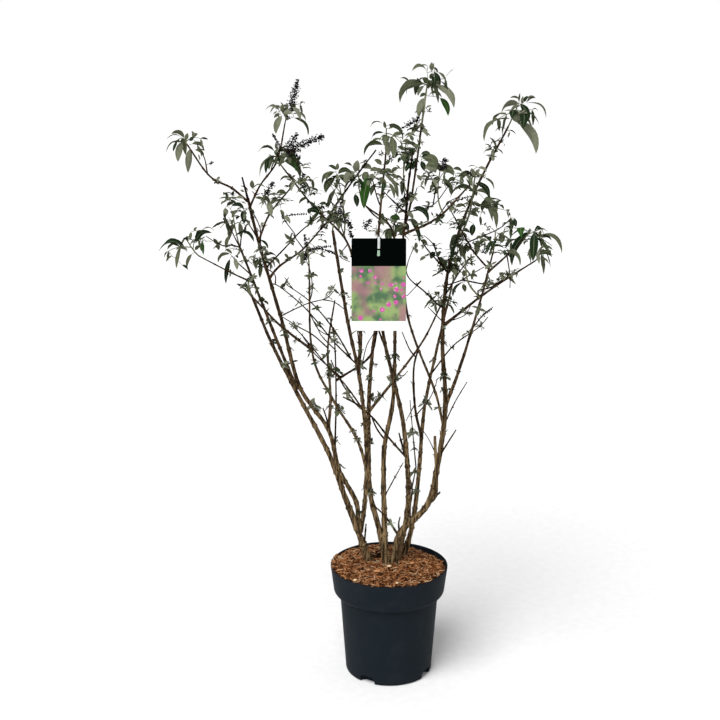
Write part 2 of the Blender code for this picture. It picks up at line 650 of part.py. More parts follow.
def make_mass(mass, limbs, limb_trees, obstacles, seed, collection, material):
    """One foliage mass: a stem from its carrier, shoots that leave it, spikes, and pairs of leaves."""
    carrier = limbs[mass.carrier]
    shoot = Shoot(mass, obstacles, seed)
    centre, reach = shoot.centre, shoot.reach
    start, heading = start_on(carrier, mass.height, centre, limb_trees[mass.carrier])
    end = centre + Vector((0, 0, reach.z * 0.35))
    run = (end - start).length
    straight = start + heading * 0.004
    stem = [start] + arc(straight, start + heading * run * 0.45, end, 3)
    radii = [TWIG_RADIUS + (TWIG_TIP - TWIG_RADIUS) * i / (len(stem) - 1) for i in range(len(stem))]
    shoot.add_twig(stem, radii, check=False)
    stem_shares = [i / (len(stem) - 1) for i in range(len(stem))]
    paths = [stem]
    for index in range(mass.shoots):
        for attempt in range(8):
            share = 0.45 + 0.4 * index / max(1, mass.shoots)
            place, along = path_at(stem, stem_shares, share)
            turn = index * TURN + attempt * 0.9 + seed
            spread = Vector((math.cos(turn) * reach.x, math.sin(turn) * reach.y, 0)) * 0.52
            goal = centre + spread + Vector((0, 0, reach.z * shoot.random.uniform(-0.15, 0.45)))
            path = arc(place, place.lerp(goal, 0.5) + along * 0.012, goal, 2)
            if shoot.add_twig(path, [ROOT_RADIUS, SHOOT_RADIUS, SHOOT_TIP]):
                paths.append(path)
                break
    for spike in mass.spikes:
        tips = sorted(paths, key=lambda path: (path[-1] - Vector(spike)).length)
        shoot.add_spike(tips[0][-2].lerp(tips[0][-1], 0.6), Vector(spike))
    for index, path in enumerate(paths):
        shoot.add_leaf_pairs(path, PAIR_GAP, 0.60 if index == 0 else 0.45)
    return fuse(mass.name, shoot.pieces, collection, material)


def fuse(name, meshes, collection, material):
    """One closed body from the twigs and leaves of a mass."""
    loose = new_collection(f"{name}_pieces")
    for index, mesh in enumerate(meshes[1:]):
        loose.objects.link(bpy.data.objects.new(f"{name}_{index}", mesh))
    obj = add_object(name, meshes[0], collection, material, smooth=False)
    join = obj.modifiers.new("Fused", "BOOLEAN")
    join.operation = "UNION"
    join.solver = "EXACT"
    join.operand_type = "COLLECTION"
    join.collection = loose
    apply_modifiers(obj)
    remove_all(loose.objects)
    bpy.data.collections.remove(loose)
    keep_largest(obj.data)
    return obj


def body_groups(mesh):
    """The vertex numbers of each connected body of a mesh, the largest body last."""
    shape = bmesh.new()
    shape.from_mesh(mesh)
    left = set(shape.verts)
    groups = []
    while left:
        group, queue = [], [left.pop()]
        while queue:
            vertex = queue.pop()
            group.append(vertex.index)
            for edge in vertex.link_edges:
                other = edge.other_vert(vertex)
                if other in left:
                    left.remove(other)
                    queue.append(other)
        groups.append(group)
    shape.free()
    return sorted(groups, key=len)


def keep_largest(mesh):
    """Drops loose scraps and the shells of sealed hollows."""
    numbers = {index for group in body_groups(mesh)[:-1] for index in group}
    shape = bmesh.new()
    shape.from_mesh(mesh)
    scraps = [vertex for vertex in shape.verts if vertex.index in numbers]
    bmesh.ops.delete(shape, geom=scraps, context="VERTS")
    shape.to_mesh(mesh)
    shape.free()


def make_tag(collection, cutters, material):
    """A plain card that leans forward a little, with a hole for its loop."""
    bpy.ops.mesh.primitive_cube_add(size=1)
    tag = bpy.context.object
    tag.name = "hang_tag"
    tag.data.name = "hang_tag"
    tag.scale = (TAG_WIDTH, TAG_THICKNESS, TAG_HEIGHT)
    tag.rotation_euler = (-TAG_LEAN, 0, 0)
    down = Vector((0, -math.sin(TAG_LEAN), -math.cos(TAG_LEAN)))
    tag.location = TAG_TOP + down * (TAG_HEIGHT / 2)
    for other in list(tag.users_collection):
        other.objects.unlink(tag)
    collection.objects.link(tag)
    tag.data.materials.append(material)
    bpy.ops.mesh.primitive_cylinder_add(vertices=12, radius=TAG_HOLE / 2, depth=0.02)
    cutter = bpy.context.object
    cutter.name = "tag_hole_cutter"
    cutter.rotation_euler = (math.pi / 2 - TAG_LEAN, 0, 0)
    cutter.location = TAG_TOP + down * TAG_HOLE_DROP
    hide_cutter(cutter, cutters)
    hole = tag.modifiers.new("Hole", "BOOLEAN")
    hole.operation = "DIFFERENCE"
    hole.solver = "EXACT"
    hole.object = cutter
    return tag


def make_loop(collection, limbs, material):
    """A thin strap through the card's hole and round the stem behind it."""
    _, path, _, radii = limbs["stem_tall_front"]
    down = Vector((0, -math.sin(TAG_LEAN), -math.cos(TAG_LEAN)))
    forward = Vector((0, -math.cos(TAG_LEAN), math.sin(TAG_LEAN)))
    level = TAG_TOP.z + LOOP_RISE
    above = next(index for index, place in enumerate(path) if place.z > level)
    low, high = path[above - 1], path[above]
    stem = low.lerp(high, (level - low.z) / (high.z - low.z))
    behind = stem.y + radii[above - 1] + GAP + LOOP_WIRE
    hole = TAG_TOP + down * (TAG_HOLE_DROP + 0.0005)
    off = TAG_THICKNESS / 2 + LOOP_WIRE + 2 * GAP
    turns = [
        hole, hole + forward * off * 1.2 + Vector((-0.0006, 0, 0.0006)),
        hole + forward * off - down * 0.010 + Vector((-0.003, 0, 0)),
        TAG_TOP + forward * off * 1.3 + Vector((-0.007, 0, 0.002)),
        Vector((stem.x - LOOP_SPREAD, stem.y - 0.006, level)),
        Vector((stem.x - LOOP_SPREAD * 0.65, behind - 0.002, level + 0.0025)),
        Vector((stem.x, behind, level + 0.003)),
        Vector((stem.x + LOOP_SPREAD * 0.65, behind - 0.002, level + 0.0025)),
        Vector((stem.x + LOOP_SPREAD, stem.y - 0.004, level)),
        TAG_TOP - forward * off * 1.6 + Vector((0.007, 0, 0.000)),
        hole - forward * off - down * 0.010 + Vector((0.003, 0, 0)),
        hole - forward * off * 1.2 + Vector((0.0006, 0, 0.0006)),
    ]
    ring = smooth_path(turns + [turns[0]], 0.008)[0][:-1]
    mesh = tube_mesh("tag_loop", ring, [LOOP_WIRE] * len(ring), 1, cyclic=True)
    return add_object("tag_loop", mesh, collection, material)


def main():
    clear_scene()
    plant = new_collection("potted_butterfly_bush")
    cutters = new_collection("cutters", hidden=True)
    wood = {
        "old": new_material("old_bark", (0.16, 0.09, 0.04), 0.85),
        "young": new_material("young_bark", (0.09, 0.05, 0.03), 0.80),
    }
    felt = new_material("felted_leaf", (0.20, 0.23, 0.14), 0.90)
    make_pot(plant, cutters, new_material("pot_plastic", (0.018, 0.024, 0.030), 0.55))
    make_mix(plant, new_material("shredded_bark", (0.27, 0.10, 0.035), 0.95))
    limbs = make_limbs(plant, wood)
    tag = make_tag(plant, cutters, new_material("tag_card", (0.35, 0.30, 0.28), 0.45))
    loop = make_loop(plant, limbs, new_material("tag_strap", (0.85, 0.85, 0.82), 0.40))
    limb_trees = {name: tree_of(evaluated_mesh(entry[0])) for name, entry in limbs.items()}
    obstacles = list(limb_trees.values())
    for fixed in (tag, loop):
        solid = evaluated_mesh(fixed)
        solid.transform(fixed.matrix_world)
        obstacles.append(tree_of(solid))
    for seed, mass in enumerate(MASSES):
        obj = make_mass(mass, limbs, limb_trees, obstacles, seed + mass.seed, plant, felt)
        obstacles.append(tree_of(obj.data))


main()
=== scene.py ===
"""The looks of a potted butterfly bush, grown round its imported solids.

Bark with relief, fine twigs, felted leaves, spent flower spikes, a turned nursery pot full of shredded
bark, and a plain hang tag. Everything is in metres, +Z up, and the front of the plant is -Y. It is one
body, so every piece rides on root.
"""

import logging
import math
import random
from collections.abc import Iterable, Sequence
from dataclasses import dataclass, field
from enum import Enum

import bpy
import numpy as np
from mathutils import Matrix, Vector

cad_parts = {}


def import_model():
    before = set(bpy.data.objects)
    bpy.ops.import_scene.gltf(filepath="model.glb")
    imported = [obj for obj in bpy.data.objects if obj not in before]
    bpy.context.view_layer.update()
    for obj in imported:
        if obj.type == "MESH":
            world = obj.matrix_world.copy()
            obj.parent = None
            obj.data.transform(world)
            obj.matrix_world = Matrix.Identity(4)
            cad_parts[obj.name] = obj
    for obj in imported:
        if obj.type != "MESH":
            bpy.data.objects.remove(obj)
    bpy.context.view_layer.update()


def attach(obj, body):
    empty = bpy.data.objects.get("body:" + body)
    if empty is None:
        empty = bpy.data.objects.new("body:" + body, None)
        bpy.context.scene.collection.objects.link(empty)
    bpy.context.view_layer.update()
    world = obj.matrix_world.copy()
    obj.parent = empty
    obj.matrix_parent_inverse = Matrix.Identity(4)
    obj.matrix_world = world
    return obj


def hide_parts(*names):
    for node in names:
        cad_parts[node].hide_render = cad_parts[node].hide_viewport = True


LOG = logging.getLogger("butterfly_bush")
BODY = "root"
GOLDEN_TURN = 2.4
UP = Vector((0, 0, 1))

Colour = tuple[float, float, float]
Place = tuple[float, float, float]


@dataclass(frozen=True)
class Sight:
    """The camera, and where a pixel of the photograph's frame lies in the plant's frame."""

    position: Place = (-0.0797, -3.0, 1.579)
    pitch: float = math.radians(13.14)
    focal_pixels: float = 1171.3
    frame_pixels: int = 720
    sensor_mm: float = 36.0

    def place(self, u: float, v: float, depth: float) -> Vector:
        """The place at a depth (a Y in metres) that the camera sees at a pixel.

        Args:
            u: Pixels from the frame's left edge.
            v: Pixels from the frame's top edge.
            depth: The Y of the place, in metres.

        Returns:
            The place, in metres.
        """
        right = (u - self.frame_pixels / 2) / self.focal_pixels
        rise = (self.frame_pixels / 2 - v) / self.focal_pixels
        sine, cosine = math.sin(self.pitch), math.cos(self.pitch)
        ray = Vector((right, cosine + rise * sine, rise * cosine - sine))
        return Vector(self.position) + ray * ((depth - self.position[1]) / ray.y)

    def at_height(self, u: float, v: float, height: float) -> Vector:
        """The place at a height that the camera sees at a pixel.

        Args:
            u: Pixels from the frame's left edge.
            v: Pixels from the frame's top edge.
            height: The Z of the place, in metres.

        Returns:
            The place, in metres.
        """
        eye = Vector(self.position)
        ray = self.place(u, v, 0.0) - eye
        return eye + ray * ((height - eye.z) / ray.z)

    def pixel(self, places: np.ndarray) -> np.ndarray:
        """The pixels at which the camera sees some places.

        Args:
            places: The places, one row each.

        Returns:
            The pixels across and down, one row each.
        """
        x, y, z = (np.atleast_2d(places) - np.array(self.position)).T
        sine, cosine = math.sin(self.pitch), math.cos(self.pitch)
        ahead = y * cosine - z * sine
        rise = y * sine + z * cosine
        centre = self.frame_pixels / 2
        across = centre + self.focal_pixels * x / ahead
        down = centre - self.focal_pixels * rise / ahead
        return np.stack([across, down], axis=1)

    def pixel_size(self, place: Vector) -> float:
        """How many metres a pixel spans at a place."""
        _, y, z = place - Vector(self.position)
        return (y * math.cos(self.pitch) - z * math.sin(self.pitch)) / self.focal_pixels

    def make(self) -> bpy.types.Object:
        """Adds the camera and makes it the scene's own.

        Returns:
            The camera.
        """
        lens = bpy.data.cameras.new("camera")
        lens.sensor_width = self.sensor_mm
        lens.lens = self.focal_pixels / self.frame_pixels * self.sensor_mm
        camera = bpy.data.objects.new("camera", lens)
        camera.location = self.position
        camera.rotation_euler = (math.pi / 2 - self.pitch, 0, 0)
        bpy.context.scene.collection.objects.link(camera)
        bpy.context.scene.camera = camera
        return camera


class Signal:
    """An output socket of a shader node. Arithmetic on it adds Math nodes to its material."""

    def __init__(self, graph: "Graph", socket: bpy.types.NodeSocket) -> None:
        """Wraps a socket of a graph."""
        self.graph = graph
        self.socket = socket

    def _math(self, operation: str, *values: "Signal | float") -> "Signal":
        """A Math node on the given values."""
        return self.graph.node("ShaderNodeMath", {"operation": operation}, dict(enumerate(values)))

    def __add__(self, other: "Signal | float") -> "Signal":
        """The sum."""
        return self._math("ADD", self, other)

    __radd__ = __add__

    def __sub__(self, other: "Signal | float") -> "Signal":
        """The difference."""
        return self._math("SUBTRACT", self, other)

    def __rsub__(self, other: float) -> "Signal":
        """A number less this."""
        return self._math("SUBTRACT", other, self)

    def __mul__(self, other: "Signal | float") -> "Signal":
        """The product."""
        return self._math("MULTIPLY", self, other)

    __rmul__ = __mul__

    def above(self, edge: float, softness: float) -> "Signal":
        """0 below an edge and 1 above it, with a soft step between."""
        span = {1: edge - softness, 2: edge + softness}
        return self.graph.node("ShaderNodeMapRange", {"interpolation_type": "SMOOTHSTEP"}, {0: self, **span})


class Graph:
    """The node tree of one material, with a Principled shader at its end."""

    def __init__(self, name: str, roughness: float, **constants: float) -> None:
        """Starts a material.

        Args:
            name: The material's name.
            roughness: The shader's roughness.
            constants: Other sockets of the shader that are the same all over, by name with _ for a space.
        """
        self.material = bpy.data.materials.new(name)
        self.material.use_nodes = True
        self.tree = self.material.node_tree
        self.shader = self.tree.nodes["Principled BSDF"]
        self.shader.inputs["Roughness"].default_value = roughness
        for socket, value in constants.items():
            self.shader.inputs[socket.replace("_", " ")].default_value = value

    def node(self, kind: str, settings: dict | None = None, sockets: dict | None = None,
             output: int = 0) -> Signal:
        """Adds one node.

        Args:
            kind: The node's type.
            settings: Its settings, set first.
            sockets: Its input sockets by number or name, each a Signal to link or a value to set.
            output: The number of the output that is wanted.

        Returns:
            That output.
        """
        made = self.tree.nodes.new(kind)
        for setting, value in (settings or {}).items():
            setattr(made, setting, value)
        for key, value in (sockets or {}).items():
            if isinstance(value, Signal):
                self.tree.links.new(value.socket, made.inputs[key])
            else:
                made.inputs[key].default_value = value
        return Signal(self, made.outputs[output])

    def position(self, stretch: Place = (1.0, 1.0, 1.0)) -> Signal:
        """The surface's place in metres, times a stretch along each axis."""
        place = self.node("ShaderNodeNewGeometry")
        return self.node("ShaderNodeVectorMath", {"operation": "MULTIPLY"}, {0: place, 1: stretch})

    def height(self) -> Signal:
        """The surface's height in metres."""
        return self.node("ShaderNodeSeparateXYZ", None, {0: self.node("ShaderNodeNewGeometry")}, 2)

    def noise(self, where: Signal, scale: float, detail: float = 2.0) -> Signal:
        """Soft noise from 0 to 1, with this many grains a metre."""
        return self.node("ShaderNodeTexNoise", None, {"Vector": where, "Scale": scale, "Detail": detail})

    def cells(self, where: Signal, scale: float, scatter: float = 1.0) -> Signal:
        """The distance to the nearest of scattered dots, with this many a metre."""
        sockets = {"Vector": where, "Scale": scale, "Randomness": scatter}
        return self.node("ShaderNodeTexVoronoi", None, sockets)

    def blend(self, factor: "Signal | float", first: "Signal | Colour", second: "Signal | Colour") -> Signal:
        """A colour between two."""
        pair = [value if isinstance(value, Signal) else (*value, 1.0) for value in (first, second)]
        return self.node("ShaderNodeMix", {"data_type": "RGBA"}, {0: factor, 6: pair[0], 7: pair[1]}, 2)

    def finish(self, colour: Signal, height: Signal | None = None, depth: float = 0.0) -> bpy.types.Material:
        """Feeds the shader's colour and its bump.

        Args:
            colour: The colour.
            height: The relief, if there is any.
            depth: How deep the relief is, in metres.

        Returns:
            The finished material.
        """
        self.tree.links.new(colour.socket, self.shader.inputs["Base Color"])
        if height:
            bump = self.node("ShaderNodeBump", None, {"Strength": 1.0, "Distance": depth, "Height": height})
            self.tree.links.new(bump.socket, self.shader.inputs["Normal"])
        return self.material


@dataclass(frozen=True)
class MouldedPlastic:
    """Matte dark plastic with faint upright flow streaks and dusty scuffs."""

    name: str = "pot_plastic"
    colour: Colour = (0.0066, 0.0106, 0.0148)
    dusty: Colour = (0.0135, 0.0180, 0.0220)
    roughness: float = 0.60
    gloss: float = 0.05

    def make(self) -> bpy.types.Material:
        """Makes the finish.

        Returns:
            The material.
        """
        graph = Graph(self.name, self.roughness, Specular_IOR_Level=self.gloss)
        streaks = graph.noise(graph.position((1.0, 1.0, 0.08)), 90.0, 4.0)
        scuffs = graph.noise(graph.position(), 26.0, 6.0).above(0.60, 0.12)
        grain = graph.noise(graph.position(), 1400.0, 1.0)
        colour = graph.blend(streaks * 0.30 + scuffs * 0.35, self.colour, self.dusty)
        return graph.finish(colour, streaks * 0.6 + grain * 0.25, 0.0006)


@dataclass(frozen=True)
class Bark:
    """Bark with fissures along it: olive brown low down, dark maroon higher up, pale felt at the top."""

    name: str
    low: Colour
    low_fissure: Colour
    high: Colour
    high_fissure: Colour
    crown: Colour = (0.185, 0.190, 0.120)
    crown_height: float = 1.50
    turn_height: float = 0.88
    turn_span: float = 0.24
    roughness: float = 0.86
    gloss: float = 0.02

    def make(self) -> bpy.types.Material:
        """Makes the finish.

        Returns:
            The material.
        """
        graph = Graph(self.name, self.roughness, Specular_IOR_Level=self.gloss)
        fibres = graph.noise(graph.position((1.0, 1.0, 0.055)), 240.0, 4.0)
        patches = graph.noise(graph.position((1.0, 1.0, 0.35)), 60.0, 3.0)
        specks = graph.noise(graph.position(), 900.0, 1.0).above(0.66, 0.04)
        crack = (fibres * 0.80 + patches * 0.35).above(0.59, 0.08)
        age = (graph.height() + patches * 0.16).above(self.turn_height, self.turn_span)
        low = graph.blend(crack, self.low_fissure, self.low)
        high = graph.blend(crack, self.high_fissure, self.high)
        colour = graph.blend(age, low, high)
        colour = graph.blend(graph.height().above(self.crown_height, 0.04), colour, self.crown)
        flecked = graph.blend(specks * 0.45, colour, tuple(min(1.0, 2.1 * part) for part in self.low))
        return graph.finish(flecked, fibres * 0.8 + patches * 0.4, 0.0012)


@dataclass(frozen=True)
class Felt:
    """Soft matte leaf or shoot skin in one plain tone, with a mottle that is partly short hairs and partly
    painted light and shade.
    """

    name: str
    colour: Colour
    mottle: float = 0.42
    roughness: float = 0.90
    sheen: float = 0.02
    gloss: float = 0.0

    def make(self) -> bpy.types.Material:
        """Makes the finish.

        Returns:
            The material.
        """
        graph = Graph(self.name, self.roughness, Sheen_Weight=self.sheen, Sheen_Roughness=0.5,
                      Specular_IOR_Level=self.gloss)
        hairs_and_painted_light = graph.noise(graph.position(), 170.0, 3.0)
        # The mottle is partly short hairs and partly painted highlights and shade within the blade.
        lighter = tuple(min(1.0, part * (1 + self.mottle)) for part in self.colour)
        darker = tuple(part * (1 - self.mottle) for part in self.colour)
        return graph.finish(graph.blend(hairs_and_painted_light, darker, lighter), hairs_and_painted_light, 0.0004)


@dataclass(frozen=True)
class Shreds:
    """Bark fibre in one plain tone, streaked along. The palest tones stand partly for painted highlights, the
    near-black ones for painted shade.
    """

    name: str
    colour: Colour
    roughness: float = 0.93
    gloss: float = 0.10

    def make(self) -> bpy.types.Material:
        """Makes the finish.

        Returns:
            The material.
        """
        graph = Graph(self.name, self.roughness, Specular_IOR_Level=self.gloss)
        grain = graph.noise(graph.position(), 520.0, 3.0)
        colour = graph.blend(grain, tuple(part * 0.62 for part in self.colour), self.colour)
        return graph.finish(colour, grain, 0.0010)


@dataclass(frozen=True)
class SatinPlastic:
    """Plain satin plastic or coated card, faintly uneven."""

    name: str
    colour: Colour
    roughness: float = 0.38
    gloss: float = 0.5

    def make(self) -> bpy.types.Material:
        """Makes the finish.

        Returns:
            The material.
        """
        graph = Graph(self.name, self.roughness, Specular_IOR_Level=self.gloss)
        cloud = graph.noise(graph.position(), 40.0, 2.0)
        return graph.finish(graph.blend(cloud, tuple(part * 0.9 for part in self.colour), self.colour))


@dataclass(frozen=True)
class GardenPrint:
    """A generic print: soft greens and mauves out of focus, with round pink dots of two sizes."""

    name: str = "tag_print"
    greens: tuple[Colour, Colour] = ((0.045, 0.115, 0.050), (0.230, 0.330, 0.110))
    mauve: Colour = (0.300, 0.130, 0.160)
    pinks: tuple[Colour, Colour] = ((0.470, 0.070, 0.280), (0.780, 0.340, 0.600))
    dots_a_metre: float = 62.0
    roughness: float = 0.34

    def make(self) -> bpy.types.Material:
        """Makes the finish.

        Returns:
            The material.
        """
        graph = Graph(self.name, self.roughness)
        flat = graph.position((1.0, 0.0, 1.0))
        ground = graph.blend(graph.noise(flat, 34.0, 2.0).above(0.50, 0.14), *self.greens)
        ground = graph.blend(graph.noise(flat, 19.0, 1.0).above(0.57, 0.09) * 0.8, ground, self.mauve)
        near = graph.cells(flat, self.dots_a_metre, 0.55)
        small = graph.cells(flat, self.dots_a_metre * 2.7)
        where = graph.noise(flat, 15.0, 0.0).above(0.50, 0.02)
        disc = (1.0 - near.above(0.36, 0.03)) * where
        bead = (1.0 - small.above(0.26, 0.05)) * disc
        return graph.finish(graph.blend(bead, graph.blend(disc, ground, self.pinks[0]), self.pinks[1]))


class Tone(Enum):
    """The leaf tones, dealt out by spray. Each value is the tone of the upper side."""

    PALE = (0.158, 0.166, 0.114)
    GREY = (0.087, 0.098, 0.057)
    # OLIVE and DARK are partly the leaves' own dark green and partly painted shade, for leaves that lie in
    # shade.
    OLIVE = (0.039, 0.051, 0.025)
    DARK = (0.011, 0.023, 0.009)
    BRIGHT = (0.022, 0.064, 0.011)

    @property
    def under(self) -> Colour:
        """The tone of the felted underside."""
        # Undersides are kept dark, partly as painted shade on the side that faces down: below DARK and BRIGHT
        # a darkened pale felt, below the others the upper tone made darker.
        if self in (Tone.DARK, Tone.BRIGHT):
            return (0.098, 0.106, 0.068)
        return tuple(0.88 * part for part in self.value)

    @property
    def rib(self) -> Colour:
        """The tone of the midrib, a little paler than the blade."""
        return tuple(0.55 * part + 0.45 * pale for part, pale in zip(self.value, (0.24, 0.25, 0.17)))


PALE, GREY, OLIVE, DARK, BRIGHT = Tone


class Cluster:
    """Many small closed shapes, gathered into one joined mesh."""

    def __init__(self) -> None:
        """Starts an empty cluster."""
        self.points: list[np.ndarray] = []
        self.quads: list[np.ndarray] = []
        self.triangles: list[np.ndarray] = []
        self.quad_slots: list[np.ndarray] = []
        self.triangle_slots: list[np.ndarray] = []
        self.total = 0

    def add(self, points: np.ndarray, quads: np.ndarray, triangles: np.ndarray,
            slots: tuple = (0, 0)) -> None:
        """Adds one shape.

        Args:
            points: Its points, one row each.
            quads: Its four-sided faces, as rows of point numbers.
            triangles: Its three-sided faces, likewise.
            slots: The material numbers of quads and triangles, each one number or one for each face.
        """
        self.points.append(points)
        for faces, found, numbers, kept, sides in (
            (quads, self.quads, slots[0], self.quad_slots, 4),
            (triangles, self.triangles, slots[1], self.triangle_slots, 3),
        ):
            faces = np.asarray(faces, np.int64).reshape(-1, sides)
            found.append(faces + self.total)
            kept.append(np.broadcast_to(np.asarray(numbers, np.int64), (len(faces),)))
        self.total += len(points)

    @property
    def triangle_count(self) -> int:
        """How many triangles the cluster holds."""
        return 2 * sum(map(len, self.quads)) + sum(map(len, self.triangles))

    def build(self, name: str, materials: Iterable[bpy.types.Material],
              sharp: float = 50.0) -> bpy.types.Object:
        """Makes the joined mesh and its object.

        Args:
            name: The piece's name.
            materials: Its materials, by number.
            sharp: The angle in degrees past which an edge stays sharp.

        Returns:
            The object, in the scene.
        """
        quads, triangles = np.concatenate(self.quads), np.concatenate(self.triangles)
        mesh = bpy.data.meshes.new(name)
        mesh.vertices.add(self.total)
        mesh.vertices.foreach_set("co", np.concatenate(self.points).astype(np.float32).ravel())
        corners = np.concatenate([quads.ravel(), triangles.ravel()]).astype(np.int32)
        mesh.loops.add(len(corners))
        mesh.loops.foreach_set("vertex_index", corners)
        starts = np.concatenate([np.arange(len(quads)) * 4, quads.size + np.arange(len(triangles)) * 3])
        mesh.polygons.add(len(starts))
        mesh.polygons.foreach_set("loop_start", starts.astype(np.int32))
        slots = np.concatenate([*self.quad_slots, *self.triangle_slots])
        mesh.polygons.foreach_set("material_index", slots.astype(np.int32))
        mesh.update(calc_edges=True)
        for material in materials:
            mesh.materials.append(material)
        mesh.shade_smooth()
        mesh.set_sharp_from_angle(angle=math.radians(sharp))
        piece = bpy.data.objects.new(name, mesh)
        bpy.context.scene.collection.objects.link(piece)
        return piece


def ride(piece: bpy.types.Object, slot: str, *replaced: str) -> bpy.types.Object:
    """Puts a piece on the plant's one body, and logs it.

    Args:
        piece: The piece.
        slot: The name of its material slot. It is not used.
        replaced: The solids that it stands for.

    Returns:
        The piece.
    """
    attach(piece, BODY)
    if replaced:
        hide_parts(*replaced)
    LOG.info("%s: %d faces", piece.name, len(piece.data.polygons))
    return piece


@dataclass
class Run:
    """A smooth run of wood: its places, and its radius at each."""

    places: np.ndarray
    radii: np.ndarray

    def __post_init__(self) -> None:
        """Works out the length run at each place."""
        steps = np.linalg.norm(np.diff(self.places, axis=0), axis=1)
        self.along = np.concatenate([[0.0], np.cumsum(steps)])

    @property
    def length(self) -> float:
        """The whole length, in metres."""
        return float(self.along[-1])

    def at(self, share: float) -> tuple[Vector, Vector, float]:
        """The run at a share of the way.

        Args:
            share: 0 at the foot, 1 at the tip.

        Returns:
            The place, the direction and the radius there.
        """
        here = share * self.length
        place = Vector([float(np.interp(here, self.along, self.places[:, axis])) for axis in range(3)])
        index = int(np.clip(np.searchsorted(self.along, here), 1, len(self.places) - 1))
        heading = Vector(self.places[index] - self.places[index - 1]).normalized()
        return place, heading, float(np.interp(here, self.along, self.radii))

    def nearest(self, place: Sequence[float]) -> tuple[float, float]:
        """Where the run is nearest to a place.

        Args:
            place: The place, in metres.

        Returns:
            The distance to it, and the share of the way.
        """
        gaps = np.linalg.norm(self.places - np.array(place), axis=1)
        index = int(gaps.argmin())
        return float(gaps[index]), float(self.along[index] / self.length)


def smooth_run(points: Sequence[Sequence[float]], step: float) -> np.ndarray:
    """Places along a centripetal curve through the given points.

    Args:
        points: The places that the curve passes.
        step: About how far apart the places are, in metres.

    Returns:
        The places, one row each.
    """
    given = [np.array(point, float) for point in points]
    padded = [2 * given[0] - given[1], *given, 2 * given[-1] - given[-2]]
    rows = [given[0][None]]
    for before, start, end, after in zip(padded, padded[1:], padded[2:], padded[3:]):
        gaps = ((before, start), (start, end), (end, after))
        knots = np.cumsum([0.0] + [math.sqrt(np.linalg.norm(b - a)) for a, b in gaps])
        pieces = max(1, round(np.linalg.norm(end - start) / step))
        at = (knots[1] + (knots[2] - knots[1]) * np.arange(1, pieces + 1) / pieces)[:, None]

        def mixed(a: np.ndarray, b: np.ndarray, low: int, high: int) -> np.ndarray:
            """Between a and b, by the knots."""
            return a + (b - a) * (at - knots[low]) / (knots[high] - knots[low])

        first, middle, last = mixed(before, start, 0, 1), mixed(start, end, 1, 2), mixed(end, after, 2, 3)
        rows.append(mixed(mixed(first, middle, 0, 2), mixed(middle, last, 1, 3), 1, 2))
    return np.concatenate(rows)


def arc(start: Vector, control: Vector, end: Vector, pieces: int) -> np.ndarray:
    """Places along a plain curve.

    Args:
        start: Where it starts.
        control: Where it heads for at first.
        end: Where it ends.
        pieces: Into how many pieces it is cut.

    Returns:
        The places, one row each, with both ends.
    """
    shares = np.linspace(0, 1, pieces + 1)[:, None]
    a, b, c = (np.array(point) for point in (start, control, end))
    return (1 - shares) ** 2 * a + 2 * shares * (1 - shares) * b + shares**2 * c


def tube(places: np.ndarray, radii: np.ndarray, sides: int, relief: np.ndarray | None = None) -> tuple:
    """A closed tube along a path.

    Args:
        places: The path, one row for each ring.
        radii: The radius of each ring.
        sides: The sides of the tube.
        relief: Factors on the radius, a row for each ring and a column for each side.

    Returns:
        The points, the quads and the triangles.
    """
    count = len(places)
    ahead = np.gradient(places, axis=0)
    ahead /= np.linalg.norm(ahead, axis=1)[:, None]
    across = np.array(Vector(ahead[0]).orthogonal())
    rings = []
    turns = np.arange(sides) * math.tau / sides
    for index in range(count):
        across = across - ahead[index] * across.dot(ahead[index])
        across /= np.linalg.norm(across)
        other = np.cross(ahead[index], across)
        reach = radii[index] * (relief[index] if relief is not None else 1.0)
        spokes = np.outer(np.cos(turns), across) + np.outer(np.sin(turns), other)
        rings.append(places[index] + spokes * np.reshape(reach, (-1, 1)))
    points = np.concatenate([*rings, places[:1], places[-1:]])
    i, j = np.meshgrid(np.arange(count - 1), np.arange(sides), indexing="ij")
    k = (j + 1) % sides
    here, after = i * sides, (i + 1) * sides
    quads = np.stack([here + j, here + k, after + k, after + j], axis=-1).reshape(-1, 4)
    j, k = np.arange(sides), (np.arange(sides) + 1) % sides
    last = (count - 1) * sides
    foot = np.stack([np.full(sides, count * sides), k, j], axis=1)
    tip = np.stack([np.full(sides, count * sides + 1), last + j, last + k], axis=1)
    return points, quads, np.concatenate([foot, tip])


@dataclass(frozen=True)
class Limb:
    """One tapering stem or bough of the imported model.

    It has its radii at foot and tip, the places that it passes, whether another limb carries it, and a factor
    on both radii.
    """

    name: str
    foot_radius: float
    tip_radius: float
    points: tuple[Place, ...]
    carried: bool = True
    slim: float = 1.22


@dataclass(frozen=True)
class Whip:
    """A thin bare twig or stub, traced in the photograph's frame from its fork to its tip."""

    pixels: tuple[float, ...]
    foot_depth: float
    tip_depth: float
    radius: float = 0.0016
    pale: bool = False


@dataclass(frozen=True)
class Mass:
    """One leafy shoot end: its carrier, where on it the stem starts, its space, shoots and leaves.

    Only a mass with no spray of its own has spikes here, by their tips.
    """

    name: str
    carrier: str
    height: float
    centre: Place
    reach: Place
    shoots: int = 3
    leaf: float = 0.085
    spikes: tuple = ()


